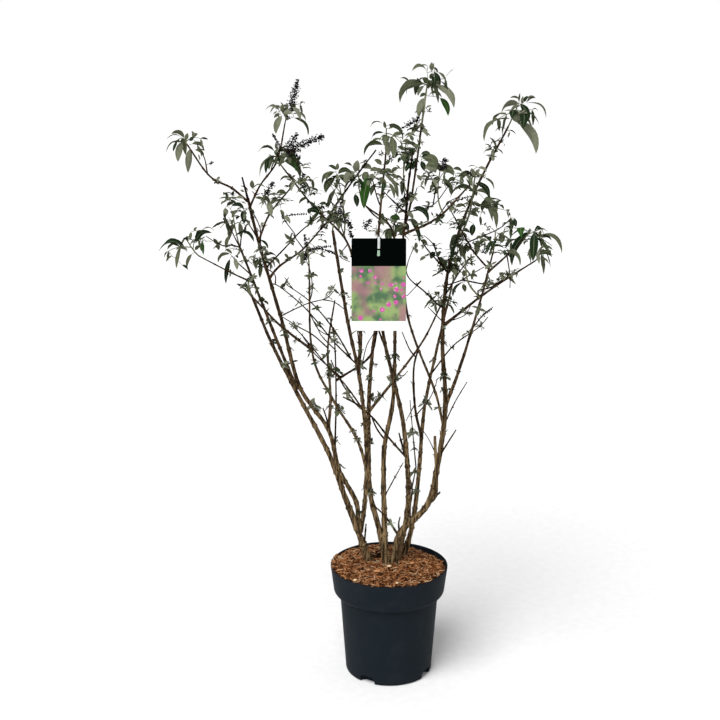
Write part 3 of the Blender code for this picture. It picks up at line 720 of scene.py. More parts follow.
# The height at which the stems leave the mix, in metres
FOOT = 0.297
LIMBS = (
    Limb("stem_left_outer", 0.0085, 0.003, (
        (-0.05, 0.016, FOOT), (-0.076, 0.0, 0.375), (-0.12, -0.018, 0.505), (-0.16, -0.03, 0.625),
        (-0.245, -0.065, 0.81), (-0.305, -0.09, 0.945), (-0.35, -0.12, 1.073)), False, 1.15),
    Limb("stem_left_inner", 0.0056, 0.0034, (
        (-0.088, -0.004, 0.41), (-0.088, 0.019, 0.47), (-0.136, 0.04, 0.56), (-0.165, 0.055, 0.67),
        (-0.24, 0.075, 0.78), (-0.29, 0.105, 0.96), (-0.355, 0.14, 1.182), (-0.38, 0.15, 1.288))),
    Limb("bough_left", 0.0042, 0.0024, (
        (-0.243, -0.066, 0.815), (-0.288, -0.058, 0.93), (-0.385, -0.03, 1.18))),
    Limb("bough_left_back", 0.0036, 0.0018, (
        (-0.165, 0.055, 0.672), (-0.16, 0.082, 0.755), (-0.168, 0.14, 0.88), (-0.15, 0.22, 0.998))),
    Limb("stem_left_front", 0.0054, 0.003, (
        (-0.08, -0.003, 0.4), (-0.07, -0.024, 0.46), (-0.062, -0.05, 0.63), (-0.08, -0.108, 0.85),
        (-0.11, -0.145, 1.01), (-0.145, -0.2, 1.243))),
    Limb("bough_left_front", 0.0044, 0.002, (
        (-0.062, -0.043, 0.59), (-0.085, -0.08, 0.68), (-0.15, -0.15, 0.815), (-0.194, -0.2, 0.93),
        (-0.2, -0.26, 1.172)), slim=1.0),
    Limb("twig_left_front", 0.003, 0.0016, (
        (-0.195, -0.204, 0.95), (-0.27, -0.252, 1.022), (-0.335, -0.3, 1.105))),
    Limb("bough_back_left", 0.004, 0.0018, (
        (-0.085, -0.114, 0.885), (-0.078, -0.08, 0.95), (-0.112, 0.1, 1.172), (-0.205, 0.18, 1.262),
        (-0.295, 0.245, 1.368))),
    Limb("stem_back", 0.0072, 0.0028, (
        (-0.006, -0.008, FOOT), (-0.026, -0.002, 0.4), (-0.052, 0.03, 0.5), (-0.056, 0.09, 0.62),
        (-0.053, 0.17, 0.76), (-0.034, 0.26, 0.92), (0.012, 0.35, 1.105)), False),
    Limb("bough_middle_right", 0.0036, 0.0018, (
        (-0.054, 0.14, 0.7), (0.02, 0.128, 0.8), (0.092, 0.118, 0.905), (0.14, 0.11, 1.008))),
    Limb("stem_middle", 0.0062, 0.0018, (
        (-0.01, -0.007, 0.342), (-0.014, 0.001, 0.455), (-0.014, 0.002, 0.64), (0.007, 0.004, 0.76),
        (0.012, 0.05, 1.02), (0.003, 0.08, 1.215), (-0.063, 0.082, 1.273)), slim=1.36),
    Limb("stem_tall_front", 0.007, 0.0018, (
        (0.02, 0.026, FOOT), (0.048, 0.012, 0.44), (0.048, -0.05, 0.56), (0.03, -0.12, 0.745),
        (-0.022, -0.2, 0.985), (-0.038, -0.25, 1.13), (-0.036, -0.27, 1.25), (-0.02, -0.285, 1.438)), False),
    Limb("stem_right", 0.0078, 0.0022, (
        (0.01, 0.004, FOOT), (0.03, -0.012, 0.4), (0.1, -0.028, 0.485), (0.127, -0.042, 0.61),
        (0.143, -0.05, 0.765), (0.135, -0.02, 0.94), (0.15, 0.01, 1.12), (0.215, 0.045, 1.31),
        (0.302, 0.076, 1.478)), False),
    Limb("bough_top", 0.0034, 0.0026, (
        (0.14, -0.049, 0.705), (0.118, -0.07, 0.8), (0.04, -0.118, 1.02), (0.026, -0.14, 1.215),
        (0.044, -0.135, 1.305), (0.08, -0.096, 1.565)), slim=1.0),
    Limb("twig_top_right", 0.003, 0.0018, (
        (0.029, -0.14, 1.228), (0.105, -0.178, 1.27), (0.178, -0.22, 1.352))),
    Limb("dead_stump_right", 0.004, 0.003, (
        (0.1, -0.028, 0.488), (0.12, -0.052, 0.52), (0.116, -0.068, 0.69))),
    Limb("bough_right_front", 0.0042, 0.0018, (
        (0.142, -0.05, 0.762), (0.172, -0.092, 0.87), (0.215, -0.16, 1.06), (0.24, -0.195, 1.188))),
    Limb("twig_right_front", 0.0026, 0.0016, (
        (0.23, -0.184, 1.14), (0.272, -0.184, 1.178), (0.314, -0.176, 1.218))),
    Limb("bough_right_back", 0.0036, 0.0018, (
        (0.14, -0.01, 0.975), (0.262, 0.074, 1.05), (0.398, 0.165, 1.118))),
    Limb("stem_back_right", 0.0062, 0.0024, (
        (0.04, 0.052, FOOT), (0.066, 0.06, 0.4), (0.082, 0.09, 0.52), (0.102, 0.18, 0.7),
        (0.14, 0.265, 0.85), (0.186, 0.345, 1.018)), False),
    Limb("bough_top_left", 0.0028, 0.0018, (
        (-0.381, 0.15, 1.28), (-0.42, 0.136, 1.316), (-0.472, 0.12, 1.345), (-0.53, 0.09, 1.434))),
    Limb("bough_upper_left", 0.0026, 0.0016, (
        (-0.376, 0.149, 1.262), (-0.346, 0.142, 1.322), (-0.3, 0.126, 1.385), (-0.272, 0.1, 1.497))),
    Limb("twig_inner_left", 0.0026, 0.0016, (
        (-0.325, 0.125, 1.075), (-0.3, 0.128, 1.105), (-0.236, 0.14, 1.15), (-0.186, 0.17, 1.203)), slim=1.4),
    Limb("twig_upper_left", 0.0026, 0.0016, (
        (-0.352, 0.139, 1.175), (-0.322, 0.105, 1.245), (-0.252, 0.04, 1.332))),
    Limb("bough_low_left", 0.0026, 0.0016, (
        (-0.35, -0.041, 1.09), (-0.4, -0.066, 1.118), (-0.476, -0.112, 1.168)), slim=1.0),
)

# Bare twigs and stubs: the pixels that each passes, across and down in turn, its depth in metres at its
# foot and at its tip, its radius where that isn't the usual one, and whether it is a pale green shoot
WHIPS = tuple(Whip(*row) for row in (
    ((356, 364, 334, 342, 306, 309, 280, 287, 271, 283), -0.115, 0.16),
    ((352, 357, 338, 336, 322, 314, 307, 299, 287, 285), -0.11, 0.10),
    ((360, 410, 343, 382, 331, 370, 300, 333, 289, 323), -0.08, -0.02),
    ((328, 347, 313, 335, 297, 326, 281, 316), 0.14, 0.08),
    ((280, 316, 295, 309, 309, 303, 327, 298, 333, 292), 0.10, 0.04, 0.0013),
    ((431, 375, 454, 345, 479, 327, 488, 317), 0.23, 0.18, 0.0017),
    ((468, 327, 484, 314, 493, 307), -0.13, -0.17, 0.0013),
    ((383, 441, 377, 429, 372, 418), 0.0, 0.03, 0.0022),
    ((397, 534, 385, 516, 372, 504), 0.0, -0.04, 0.0026),
    ((404, 460, 389, 438, 372, 417, 356, 404, 337, 374, 331, 360), -0.083, 0.06, 0.0022),
    ((335, 452, 336, 390, 334, 337, 330, 318), 0.06, 0.10, 0.0021),
    ((359, 442, 361, 390, 358, 335, 353, 312), -0.02, 0.05, 0.0020),
    ((385, 497, 399, 470, 403, 463), 0.0, -0.07, 0.0014),
    ((367, 408, 355, 403, 343, 397), -0.085, -0.12, 0.0022),
    ((420, 440, 415, 407, 414, 366, 419, 347), 0.15, 0.10, 0.0032),
    ((414, 356, 410, 350, 402, 332), 0.11, 0.08, 0.0016),
    ((408, 522, 410, 508, 412, 487, 406, 470), -0.03, 0.02, 0.0022),
    ((412, 487, 416, 468), 0.0, 0.03, 0.0016),
    ((445, 305, 440, 306, 425, 292, 409, 278, 405, 266), -0.002, -0.11, 0.0018),
    ((434, 270, 421, 281, 407, 296), -0.09, -0.05, 0.0011),
    ((445, 272, 434, 257, 427, 249, 421, 240), 0.01, -0.08, 0.0018),
    ((443, 322, 435, 314, 428, 307), -0.01, -0.04, 0.0012),
    ((440, 457, 447, 444, 456, 430), -0.043, -0.09, 0.0020),
    ((446, 426, 455, 402, 467, 382), -0.05, -0.02, 0.0014), ((432, 503, 440, 492), -0.03, -0.05, 0.0026),
    ((399, 533, 398.6, 524, 400, 517), 0.0, -0.02, 0.0022), ((371, 545, 366, 524), 0.0, -0.03, 0.0024),
    ((403, 457, 399, 433), -0.08, -0.10, 0.0026), ((329, 430, 327, 420, 323, 408), 0.05, 0.03, 0.0022),
    ((247, 192, 242, 177), 0.15, 0.15, 0.0027),
    ((348, 240, 342, 229, 339, 220, 335, 211, 329, 195), 0.10, 0.06, 0.0013),
    ((321, 229, 328, 221, 334, 208, 347, 189, 360, 171, 376, 150), 0.17, 0.05, 0.0026),
    ((240, 248, 235, 238, 229, 225, 224, 215), -0.03, -0.05, 0.0014),
    ((240, 248, 242, 234, 247, 225, 250, 221), -0.03, 0.0, 0.0014),
    ((253, 296, 245, 286, 237, 284), -0.12, -0.13, 0.0016),
    ((251, 294, 248, 287, 245, 282), -0.12, -0.10, 0.0014),
    ((475, 298, 468, 282, 465, 255), -0.16, -0.10, 0.0018, True),
    ((484, 267, 473, 251, 464, 235, 450, 209), -0.18, -0.06, 0.0018),
    ((475, 298, 478, 291, 489, 288, 509, 278), -0.16, -0.14, 0.0016),
    ((450, 286, 462, 280, 470, 275, 484, 267), 0.0, -0.15, 0.0014),
    ((406, 226, 408, 188, 413, 150), -0.14, -0.15, 0.0028),
    ((405, 222, 406, 205, 404, 190, 404, 176), -0.14, -0.16, 0.0015),
    ((457, 250, 469, 215, 475, 176), 0.0, -0.20, 0.0023, True),
    ((444, 270, 438, 257, 433, 244, 426, 237), 0.0, -0.05, 0.0014),
    ((407, 274, 409, 259, 416, 243), -0.11, -0.09, 0.0010),
    ((446, 296, 456, 277, 463, 267, 471, 257), -0.01, -0.05, 0.0017),
    ((433, 204, 450, 201, 460, 197), -0.15, -0.18, 0.0011),
    ((412, 204, 414, 197, 417, 188), -0.135, -0.11, 0.0014),
    ((410, 213, 433, 205, 447, 188, 456, 177), -0.14, -0.12, 0.0011),
    ((404, 212, 391, 199, 383, 191), -0.14, -0.18, 0.0016),
    ((380, 207, 377, 197, 372, 178), -0.275, -0.24, 0.0014),
    ((365, 206, 374, 215, 391, 226), 0.08, 0.06, 0.0018),
    ((267, 268, 283, 250, 301, 231, 320, 216), 0.13, 0.06, 0.0018),
    ((210, 171, 204, 157, 198, 149), 0.12, 0.08, 0.0013),
    ((300, 189, 306, 197, 313, 205), 0.21, 0.18, 0.0012),
    ((264, 160, 281, 147, 290, 155, 304, 175), 0.12, 0.05, 0.0011),
    ((312, 305, 312, 292, 311, 274, 307, 262), 0.09, 0.08, 0.0013),
    ((303, 248, 295, 235, 286, 222, 281, 213), 0.08, 0.05, 0.0013),
    ((329, 252, 340, 256, 350, 262), 0.09, 0.07, 0.0011),
    ((250, 274, 238, 263, 232, 256), -0.02, -0.06, 0.0014),
    ((434, 203, 436, 187, 437, 177), -0.16, -0.19, 0.0013),
    ((488, 238, 500, 228, 511, 218), -0.10, -0.06, 0.0013),
    ((504, 254, 510, 276, 510, 288), -0.14, -0.15, 0.0012),
    ((269, 245, 260, 228, 252, 210, 248, 196), 0.12, 0.13, 0.0013),
    ((284, 284, 275, 275, 262, 266, 251, 259), 0.13, 0.15, 0.0013),
    ((249, 324, 266, 331), -0.10, -0.08, 0.0012),
    ((364, 380, 370, 356, 377, 331, 380, 318), 0.09, 0.05, 0.0028),
    ((391, 370, 386, 350, 380, 334, 376, 322), -0.13, -0.09, 0.0026),
    ((360, 361, 367, 345, 374, 333), 0.07, 0.05, 0.0011),
    ((422, 418, 430, 398, 437, 381), 0.11, 0.06, 0.0013), ((414, 406, 406, 421), 0.12, 0.10, 0.0012),
    ((396, 386, 402, 377, 408, 371), -0.06, -0.08, 0.0010), ((445, 409, 446, 394), -0.04, -0.05, 0.0026),
    ((252, 296, 247, 291, 237, 284), -0.10, -0.09, 0.0015), ((250, 293, 246, 283), -0.10, -0.08, 0.0017),
    ((477, 294, 494, 284, 514, 272), -0.05, -0.07, 0.0016),
    ((467, 331, 465, 315, 471, 305), -0.05, -0.04, 0.0010),
    ((259, 238, 252, 229, 247, 221), 0.14, 0.11, 0.0017),
    ((303, 250, 297, 240, 292, 233), 0.15, 0.10, 0.0012),
    ((240, 247, 232, 245, 225, 246, 215, 242, 206, 236), -0.03, -0.08, 0.0012),
    ((307, 326, 319, 330, 332, 337), 0.05, 0.06, 0.0012),
    ((321, 299, 334, 302, 344, 309), 0.06, 0.08, 0.0012),
    ((345, 384, 331, 369, 315, 354, 303, 337), 0.06, 0.04, 0.0015),
    ((328, 349, 321, 335, 316, 324), 0.09, 0.07, 0.0013),
    ((432, 452, 428, 438, 421, 428), -0.05, -0.05, 0.0011),
    ((415, 458, 412, 424, 410, 400), 0.03, 0.04, 0.0014),
))

# Leaf tufts at the nodes of bare stems: pixel across, pixel down, and the leaf length in metres
TUFTS = (
    (317, 406, 0.038), (342, 410, 0.026), (329, 408, 0.020), (329, 375, 0.020), (335, 340, 0.024),
    (354, 431, 0.020), (334, 442, 0.016), (364, 488, 0.020), (373, 492, 0.022), (368, 392, 0.018),
    (376, 396, 0.030), (385, 379, 0.022), (362, 366, 0.024), (416, 434, 0.036), (415, 472, 0.020),
    (424, 403, 0.032), (440, 377, 0.026), (447, 376, 0.020), (437, 344, 0.024), (392, 358, 0.020),
    (404, 356, 0.018), (284, 284, 0.024), (263, 303, 0.028), (271, 322, 0.024), (488, 285, 0.032),
    (504, 278, 0.030), (493, 149, 0.032), (419, 131, 0.036), (335, 292, 0.030), (301, 303, 0.018),
    (327, 298, 0.018), (312, 290, 0.020), (344, 295, 0.022), (349, 318, 0.020), (358, 331, 0.020),
    (300, 190, 0.024), (339, 222, 0.024), (326, 232, 0.020), (283, 330, 0.018), (297, 326, 0.014),
    (371, 378, 0.018), (363, 407, 0.016), (356, 366, 0.022), (246, 262, 0.026), (264, 262, 0.030),
    (262, 250, 0.028), (296, 325, 0.018), (357, 440, 0.016), (412, 450, 0.018), (403, 450, 0.016),
    (446, 306, 0.024), (455, 268, 0.026), (462, 240, 0.026), (472, 205, 0.028),
)

MASSES = (
    Mass("top_left", "bough_top_left", 1.0, (-0.53, 0.09, 1.424), (0.074, 0.074, 0.072), 3, 0.08),
    Mass("far_left", "bough_low_left", 1.0, (-0.508, -0.115, 1.19), (0.09, 0.08, 0.062), 3, 0.085),
    Mass("left", "bough_left", 1.0, (-0.402, -0.03, 1.235), (0.068, 0.08, 0.105), 4, 0.075),
    Mass("left_inner", "stem_left_inner", 0.82, (-0.342, 0.19, 1.112), (0.06, 0.07, 0.06), 2, 0.07),
    Mass("left_crest", "bough_upper_left", 1.0, (-0.268, 0.1, 1.508), (0.068, 0.07, 0.062), 3, 0.078),
    Mass("left_shoulder", "bough_upper_left", 0.55, (-0.25, 0.1, 1.412), (0.08, 0.066, 0.05), 2, 0.07),
    Mass("left_heart", "twig_upper_left", 0.5, (-0.318, 0.06, 1.285), (0.056, 0.06, 0.06), 2, 0.066),
    Mass("inner_left", "twig_upper_left", 1.0, (-0.225, 0.034, 1.322), (0.062, 0.066, 0.06), 2, 0.068),
    Mass("inner_back", "twig_inner_left", 1.0, (-0.184, 0.19, 1.24), (0.062, 0.07, 0.06), 3, 0.072),
    Mass("back_left", "bough_back_left", 1.0, (-0.292, 0.258, 1.39), (0.074, 0.078, 0.066),
         2, 0.078, ((-0.322, 0.296, 1.452),)),
    Mass("centre_left", "bough_back_left", 0.58, (-0.14, 0.078, 1.33), (0.062, 0.064, 0.076), 3, 0.085),
    Mass("centre", "stem_middle", 1.0, (-0.082, 0.074, 1.345), (0.062, 0.07, 0.092), 4, 0.08),
    Mass("tall_front", "stem_tall_front", 1.0, (-0.02, -0.285, 1.462), (0.07, 0.074, 0.072), 4, 0.078),
    Mass("crown_top", "bough_top", 1.0, (0.084, -0.096, 1.566), (0.095, 0.092, 0.08), 4, 0.085),
    Mass("centre_top", "bough_top", 0.72, (0.034, -0.08, 1.425), (0.056, 0.066, 0.08), 2, 0.07),
    Mass("right_top", "twig_top_right", 0.55, (0.114, -0.176, 1.378), (0.072, 0.07, 0.056), 2, 0.09),
    Mass("right_upper", "twig_top_right", 1.0, (0.184, -0.232, 1.372), (0.06, 0.068, 0.048), 3, 0.066),
    Mass("far_right_top", "stem_right", 1.0, (0.326, 0.085, 1.5), (0.096, 0.086, 0.086), 4, 0.095),
    Mass("right_shoulder", "stem_right", 0.83, (0.274, 0.056, 1.262), (0.078, 0.07, 0.056), 3, 0.074),
    Mass("far_right", "twig_right_front", 1.0, (0.334, -0.172, 1.212), (0.104, 0.09, 0.08), 5, 0.085),
    Mass("right_back", "bough_right_back", 1.0, (0.412, 0.168, 1.13), (0.062, 0.072, 0.052), 3, 0.072),
    Mass("right_heart", "stem_right", 0.7, (0.184, -0.034, 1.175), (0.072, 0.07, 0.098), 4, 0.072),
    Mass("right_front", "bough_right_front", 1.0, (0.244, -0.205, 1.222), (0.05, 0.06, 0.052), 2, 0.062),
    Mass("right_inner", "bough_middle_right", 1.0, (0.138, 0.112, 1.004), (0.062, 0.066, 0.062), 3, 0.066),
    Mass("front_left", "stem_left_front", 1.0, (-0.132, -0.206, 1.262), (0.058, 0.064, 0.056),
         1, 0.066, ((-0.12, -0.208, 1.318),)),
    Mass("front", "bough_left_front", 1.0, (-0.204, -0.264, 1.196), (0.058, 0.064, 0.052),
         2, 0.064, ((-0.21, -0.272, 1.244),)),
    Mass("low_left", "stem_left_outer", 1.0, (-0.358, -0.124, 1.09), (0.056, 0.058, 0.046), 1, 0.042),
    Mass("front_low", "twig_left_front", 1.0, (-0.338, -0.31, 1.122), (0.064, 0.066, 0.056), 1, 0.044),
    Mass("back", "stem_back", 1.0, (0.016, 0.36, 1.162), (0.092, 0.09, 0.088),
         4, 0.08, ((0.03, 0.38, 1.252),)),
    Mass("back_right", "stem_back_right", 1.0, (0.194, 0.358, 1.07), (0.086, 0.084, 0.08), 4, 0.078),
)


@dataclass(frozen=True)
class Spray:
    """The leaves of one mass that show most in the photograph's frame.

    Each row gives a leaf: the pixel of its foot, the pixel of its tip, the width that shows, and its tone.
    """

    mass: str
    depth: float
    leaves: tuple[tuple[float, float, float, float, float, Tone], ...]


SPRAYS = (
    Spray("top_left", 0.09, (
        (184, 138, 171, 134, 4, GREY), (184, 142, 166, 153, 2.2, OLIVE), (182, 142, 178, 162, 7.5, PALE),
        (190, 149, 188, 173, 7.5, PALE), (192, 144, 204, 150, 3.4, GREY), (186, 140, 188, 133, 4.4, GREY),
        (190, 141, 194, 137, 4, DARK), (195, 150, 204, 157, 3.2, OLIVE), (200, 160, 198, 154, 1.7, PALE),
    )),
    Spray("far_left", -0.115, (
        (187, 252, 158, 252, 6.4, DARK), (172, 256, 166, 262, 1.9, GREY), (192, 254, 187, 268, 3.5, GREY),
        (182, 265, 188, 270, 2.7, DARK), (190, 236, 182, 245, 1.4, OLIVE), (191, 232, 190, 240, 3.5, GREY),
        (194, 231, 197, 227, 2.7, GREY), (196, 236, 203, 231, 4.8, DARK), (196, 243, 212, 233, 5.3, DARK),
        (201, 231, 215, 232, 1.9, GREY), (195, 250, 200, 246, 4, OLIVE), (187, 250, 176, 250, 4, PALE),
    )),
    Spray("left", -0.03, (
        (234, 196, 222, 196, 1.6, GREY), (228, 194, 226, 201, 3.4, GREY), (232, 196, 234, 191, 3.2, DARK),
        (227, 206, 234, 203, 3.7, OLIVE), (225, 208, 226, 216, 5.6, PALE), (232, 206, 244, 210, 4, DARK),
        (238, 210, 232, 218, 3.5, GREY), (242, 211, 244, 224, 6.2, DARK), (246, 212, 244, 220, 3.2, PALE),
        (224, 212, 225, 219, 3.2, OLIVE), (236, 198, 244, 199, 3.2, PALE), (241, 202, 246, 204, 1.4, GREY),
        (229, 236, 226, 248, 4, GREY), (235, 236, 254, 242, 2.1, DARK), (260, 240, 268, 249, 2.7, DARK),
        (256, 239, 260, 240, 2.9, GREY), (230, 254, 218, 263, 2.7, GREY), (230, 259, 226, 284, 4.3, DARK),
        (234, 258, 237, 270, 4.8, PALE), (236, 255, 238, 258, 2.4, DARK), (226, 250, 232, 254, 2.9, GREY),
    )),
    Spray("left_inner", 0.165, (
        (258, 258, 256, 270, 3.2, DARK), (260, 256, 260, 270, 3.2, PALE), (262, 264, 260, 278, 4.5, OLIVE),
        (265, 256, 277, 257, 2.1, OLIVE), (266, 260, 280, 266, 3.5, GREY), (266, 254, 266, 250, 2.4, GREY),
        (252, 278, 249, 274, 2.2, GREY), (253, 278, 258, 276, 2.6, PALE), (252, 278, 246, 280, 1.6, OLIVE),
    )),
    Spray("left_crest", 0.10, (
        (280, 112, 265, 110, 3.6, GREY), (280, 114, 274, 118, 3.4, GREY), (282, 116, 276, 134, 7, PALE),
        (293, 114, 306, 122, 3.6, GREY), (294, 118, 308, 136, 2.4, OLIVE), (282, 112, 282, 104, 4, GREY),
        (287, 110, 286, 104, 3.2, GREY), (283, 114, 292, 114, 5.3, PALE), (280, 108, 276, 105, 1.7, OLIVE),
        (293, 111, 300, 110, 3.2, OLIVE),
    )),
    Spray("left_shoulder", 0.105, (
        (275, 152, 257, 154, 3.9, GREY), (275, 152, 260, 150, 2.4, OLIVE), (274, 156, 260, 178, 4.1, GREY),
        (268, 157, 266, 174, 4.1, DARK), (274, 155, 269, 170, 5.6, GREY), (284, 161, 300, 178, 7, OLIVE),
        (290, 158, 300, 167, 2.9, GREY), (290, 178, 280, 181, 1.9, GREY), (276, 149, 276, 142, 2.7, GREY),
        (282, 151, 290, 152, 4.4, OLIVE), (278, 156, 275, 164, 3.2, GREY), (293, 181, 292, 188, 2.7, PALE),
        (252, 188, 252, 180, 4.9, GREY), (252, 189, 266, 188, 2.1, GREY), (248, 191, 240, 186, 1.4, GREY),
        (244, 192, 240, 190, 2.4, PALE),
    )),
    Spray("left_heart", 0.06, (
        (270, 203, 262, 198, 4, GREY), (272, 204, 278, 198, 4.8, GREY), (255, 198, 266, 206, 2.7, GREY),
        (286, 193, 276, 194, 4, OLIVE), (279, 196, 287, 193, 3.2, PALE), (280, 210, 284, 216, 3.2, GREY),
        (282, 214, 283, 220, 2.4, DARK), (283, 216, 290, 224, 4, PALE), (271, 214, 264, 214, 2.7, PALE),
        (271, 215, 274, 219, 1.6, GREY), (290, 244, 292, 232, 2.4, DARK), (296, 255, 296, 250, 2.4, PALE),
    )),
    Spray("inner_left", 0.034, (
        (308, 211, 320, 215, 6.4, DARK), (310, 208, 309, 214, 4.8, DARK), (310, 215, 311, 224, 2.1, DARK),
        (316, 207, 319, 212, 3.5, PALE), (319, 204, 328, 206, 3.2, OLIVE), (330, 203, 326, 207, 4, DARK),
        (328, 222, 316, 224, 2.7, PALE), (330, 222, 338, 224, 2.7, PALE), (328, 224, 326, 230, 2.1, OLIVE),
        (328, 220, 330, 214, 3.2, PALE), (306, 195, 298, 192, 1.6, OLIVE),
        (307, 198, 299, 204, 3.2, OLIVE), (308, 199, 308, 204, 2.4, OLIVE),
        (306, 190, 314, 188, 2.7, PALE), (309, 240, 309, 237, 1.6, OLIVE),
    )),
    Spray("centre_left", 0.078, (
        (336, 172, 322, 184, 4.8, OLIVE), (336, 170, 328, 166, 3.6, OLIVE),
        (337, 170, 338, 163, 4.1, GREY), (334, 172, 326, 180, 5.3, GREY), (335, 178, 326, 193, 7.8, OLIVE),
        (338, 174, 352, 174, 4.8, OLIVE), (339, 175, 346, 184, 6, GREY), (342, 196, 336, 193, 2.4, OLIVE),
    )),
    Spray("centre", 0.074, (
        (355, 172, 346, 184, 8.5, PALE), (356, 172, 358, 160, 7.3, PALE), (361, 168, 372, 170, 6, PALE),
        (352, 166, 344, 164, 2.4, OLIVE), (368, 172, 364, 181, 7.3, GREY),
        (369, 176, 364, 209, 10, BRIGHT), (355, 194, 357, 207, 6, DARK), (384, 174, 398, 199, 2.9, PALE),
        (383, 175, 373, 170, 4.8, GREY), (388, 172, 395, 173, 1.7, GREY),
    )),
    Spray("tall_front", -0.285, (
        (383, 124, 370, 128, 2.4, OLIVE), (385, 128, 384, 121, 3.2, OLIVE),
        (388, 125, 403, 140, 2.7, OLIVE), (389, 129, 396, 126, 3.2, GREY), (384, 133, 371, 142, 3.2, DARK),
        (384, 140, 370, 146, 3.5, GREY), (383, 145, 364, 156, 2.9, OLIVE), (388, 141, 388, 156, 7.2, PALE),
    )),
    Spray("crown_top", -0.098, (
        (427, 71, 412, 71, 4.8, GREY), (428, 66, 420, 66, 1.7, OLIVE), (434, 72, 439, 88, 5.6, DARK),
        (438, 72, 446, 84, 3.2, GREY), (434, 67, 438, 73, 2.2, DARK), (424, 84, 400, 103, 6.8, GREY),
        (428, 84, 422, 78, 6, OLIVE), (424, 86, 418, 96, 4.1, PALE), (430, 84, 454, 108, 9.5, PALE),
        (428, 96, 442, 98, 4.1, GREY), (440, 98, 448, 116, 6.5, BRIGHT), (424, 98, 419, 118, 7, PALE),
        (431, 70, 432, 62, 4, PALE), (432, 71, 434, 63, 3, GREY), (426, 94, 420, 97, 3.6, OLIVE),
        (426, 108, 432, 106, 1.7, GREY), (434, 74, 430, 79, 4.8, OLIVE),
    )),
    Spray("centre_top", -0.11, (
        (418, 132, 406, 132, 1.9, OLIVE), (416, 136, 404, 137, 3.5, GREY), (421, 132, 428, 134, 1.4, GREY),
        (422, 130, 426, 126, 1.6, GREY), (417, 150, 404, 144, 3.2, GREY), (408, 160, 400, 152, 4.8, DARK),
        (400, 157, 398, 163, 2.4, DARK), (400, 169, 396, 165, 1.6, GREY), (402, 178, 392, 180, 1.9, OLIVE),
        (392, 184, 400, 186, 2.7, OLIVE), (402, 180, 402, 196, 4, OLIVE), (420, 186, 425, 190, 1.9, GREY),
        (406, 211, 398, 214, 3.2, PALE), (405, 212, 413, 220, 4.8, PALE),
        (400, 220, 390, 219, 5.6, BRIGHT), (396, 216, 390, 218, 2.4, DARK),
        (413, 208, 428, 223, 4.8, DARK), (414, 208, 420, 210, 3.2, DARK), (406, 220, 418, 230, 4, OLIVE),
    )),
    Spray("right_top", -0.18, (
        (421, 157, 432, 161, 4, DARK), (422, 158, 437, 169, 10, GREY), (421, 161, 424, 171, 5.6, DARK),
        (425, 161, 438, 170, 4, DARK), (425, 168, 436, 173, 8.8, PALE), (440, 171, 454, 176, 8.8, GREY),
        (453, 169, 462, 172, 3.5, OLIVE), (437, 176, 437, 184, 3.2, OLIVE),
        (444, 180, 452, 194, 3.2, OLIVE), (433, 216, 431, 212, 1.6, OLIVE),
    )),
    Spray("right_upper", -0.23, (
        (477, 167, 468, 167, 1.4, GREY), (473, 176, 458, 178, 2.1, OLIVE), (477, 175, 485, 179, 2.4, GREY),
        (485, 178, 494, 190, 1.6, GREY), (475, 183, 489, 198, 4.8, DARK), (476, 191, 490, 200, 3.5, GREY),
        (466, 179, 470, 188, 1.6, DARK), (473, 190, 450, 198, 1.9, OLIVE),
        (456, 206, 466, 208, 2.1, OLIVE), (456, 208, 450, 212, 2.7, PALE),
    )),
    Spray("far_right_top", 0.085, (
        (519, 104, 501, 115, 3.5, PALE), (519, 99, 510, 98, 1.8, GREY), (519, 102, 520, 93, 2.1, OLIVE),
        (522, 104, 523, 96, 3.2, PALE), (524, 102, 528, 96, 3.5, DARK), (527, 99, 535, 97, 1.6, PALE),
        (527, 102, 536, 98, 1.6, OLIVE), (527, 103, 546, 119, 4, GREY), (520, 104, 528, 122, 7.2, DARK),
        (520, 106, 511, 112, 3.2, PALE), (516, 122, 518, 112, 8.8, PALE), (511, 119, 484, 142, 4.8, GREY),
        (518, 122, 536, 154, 8.8, PALE), (507, 130, 495, 132, 1.9, OLIVE),
        (508, 130, 516, 135, 1.9, OLIVE), (510, 132, 508, 138, 2.2, PALE),
        (492, 150, 484, 144, 1.9, OLIVE), (494, 151, 498, 152, 2.4, PALE),
        (494, 152, 494, 156, 1.9, OLIVE),
    )),
    Spray("right_shoulder", 0.056, (
        (482, 212, 502, 201, 2.4, OLIVE), (483, 207, 492, 208, 7.2, GREY), (480, 207, 472, 204, 4, OLIVE),
        (472, 215, 480, 208, 4.8, GREY), (466, 220, 458, 224, 4, GREY), (474, 224, 472, 236, 6.4, DARK),
    )),
    Spray("right_heart", -0.034, (
        (478, 240, 477, 255, 6.4, GREY), (453, 248, 452, 260, 3.7, DARK), (467, 243, 464, 259, 4.8, OLIVE),
        (460, 236, 450, 244, 1.9, OLIVE), (482, 236, 491, 244, 2.7, GREY), (464, 270, 464, 277, 4.8, GREY),
        (463, 282, 453, 297, 3.2, DARK), (463, 284, 465, 292, 4.8, OLIVE), (450, 306, 454, 314, 2.4, PALE),
        (444, 288, 442, 284, 1.6, GREY),
    )),
    Spray("far_right", -0.172, (
        (526, 232, 516, 232, 2.2, GREY), (530, 230, 530, 228, 1.6, GREY), (535, 232, 549, 234, 2.7, GREY),
        (530, 232, 512, 266, 8, DARK), (536, 236, 562, 254, 6.4, GREY), (542, 236, 552, 241, 3.2, DARK),
        (531, 238, 534, 249, 7.2, OLIVE), (530, 248, 530, 260, 4, GREY), (511, 218, 512, 230, 4.8, GREY),
        (514, 218, 516, 227, 4, DARK), (510, 216, 509, 212, 1.6, DARK), (502, 243, 502, 232, 7.2, GREY),
        (506, 248, 518, 240, 3.2, OLIVE), (504, 248, 490, 254, 2.4, OLIVE),
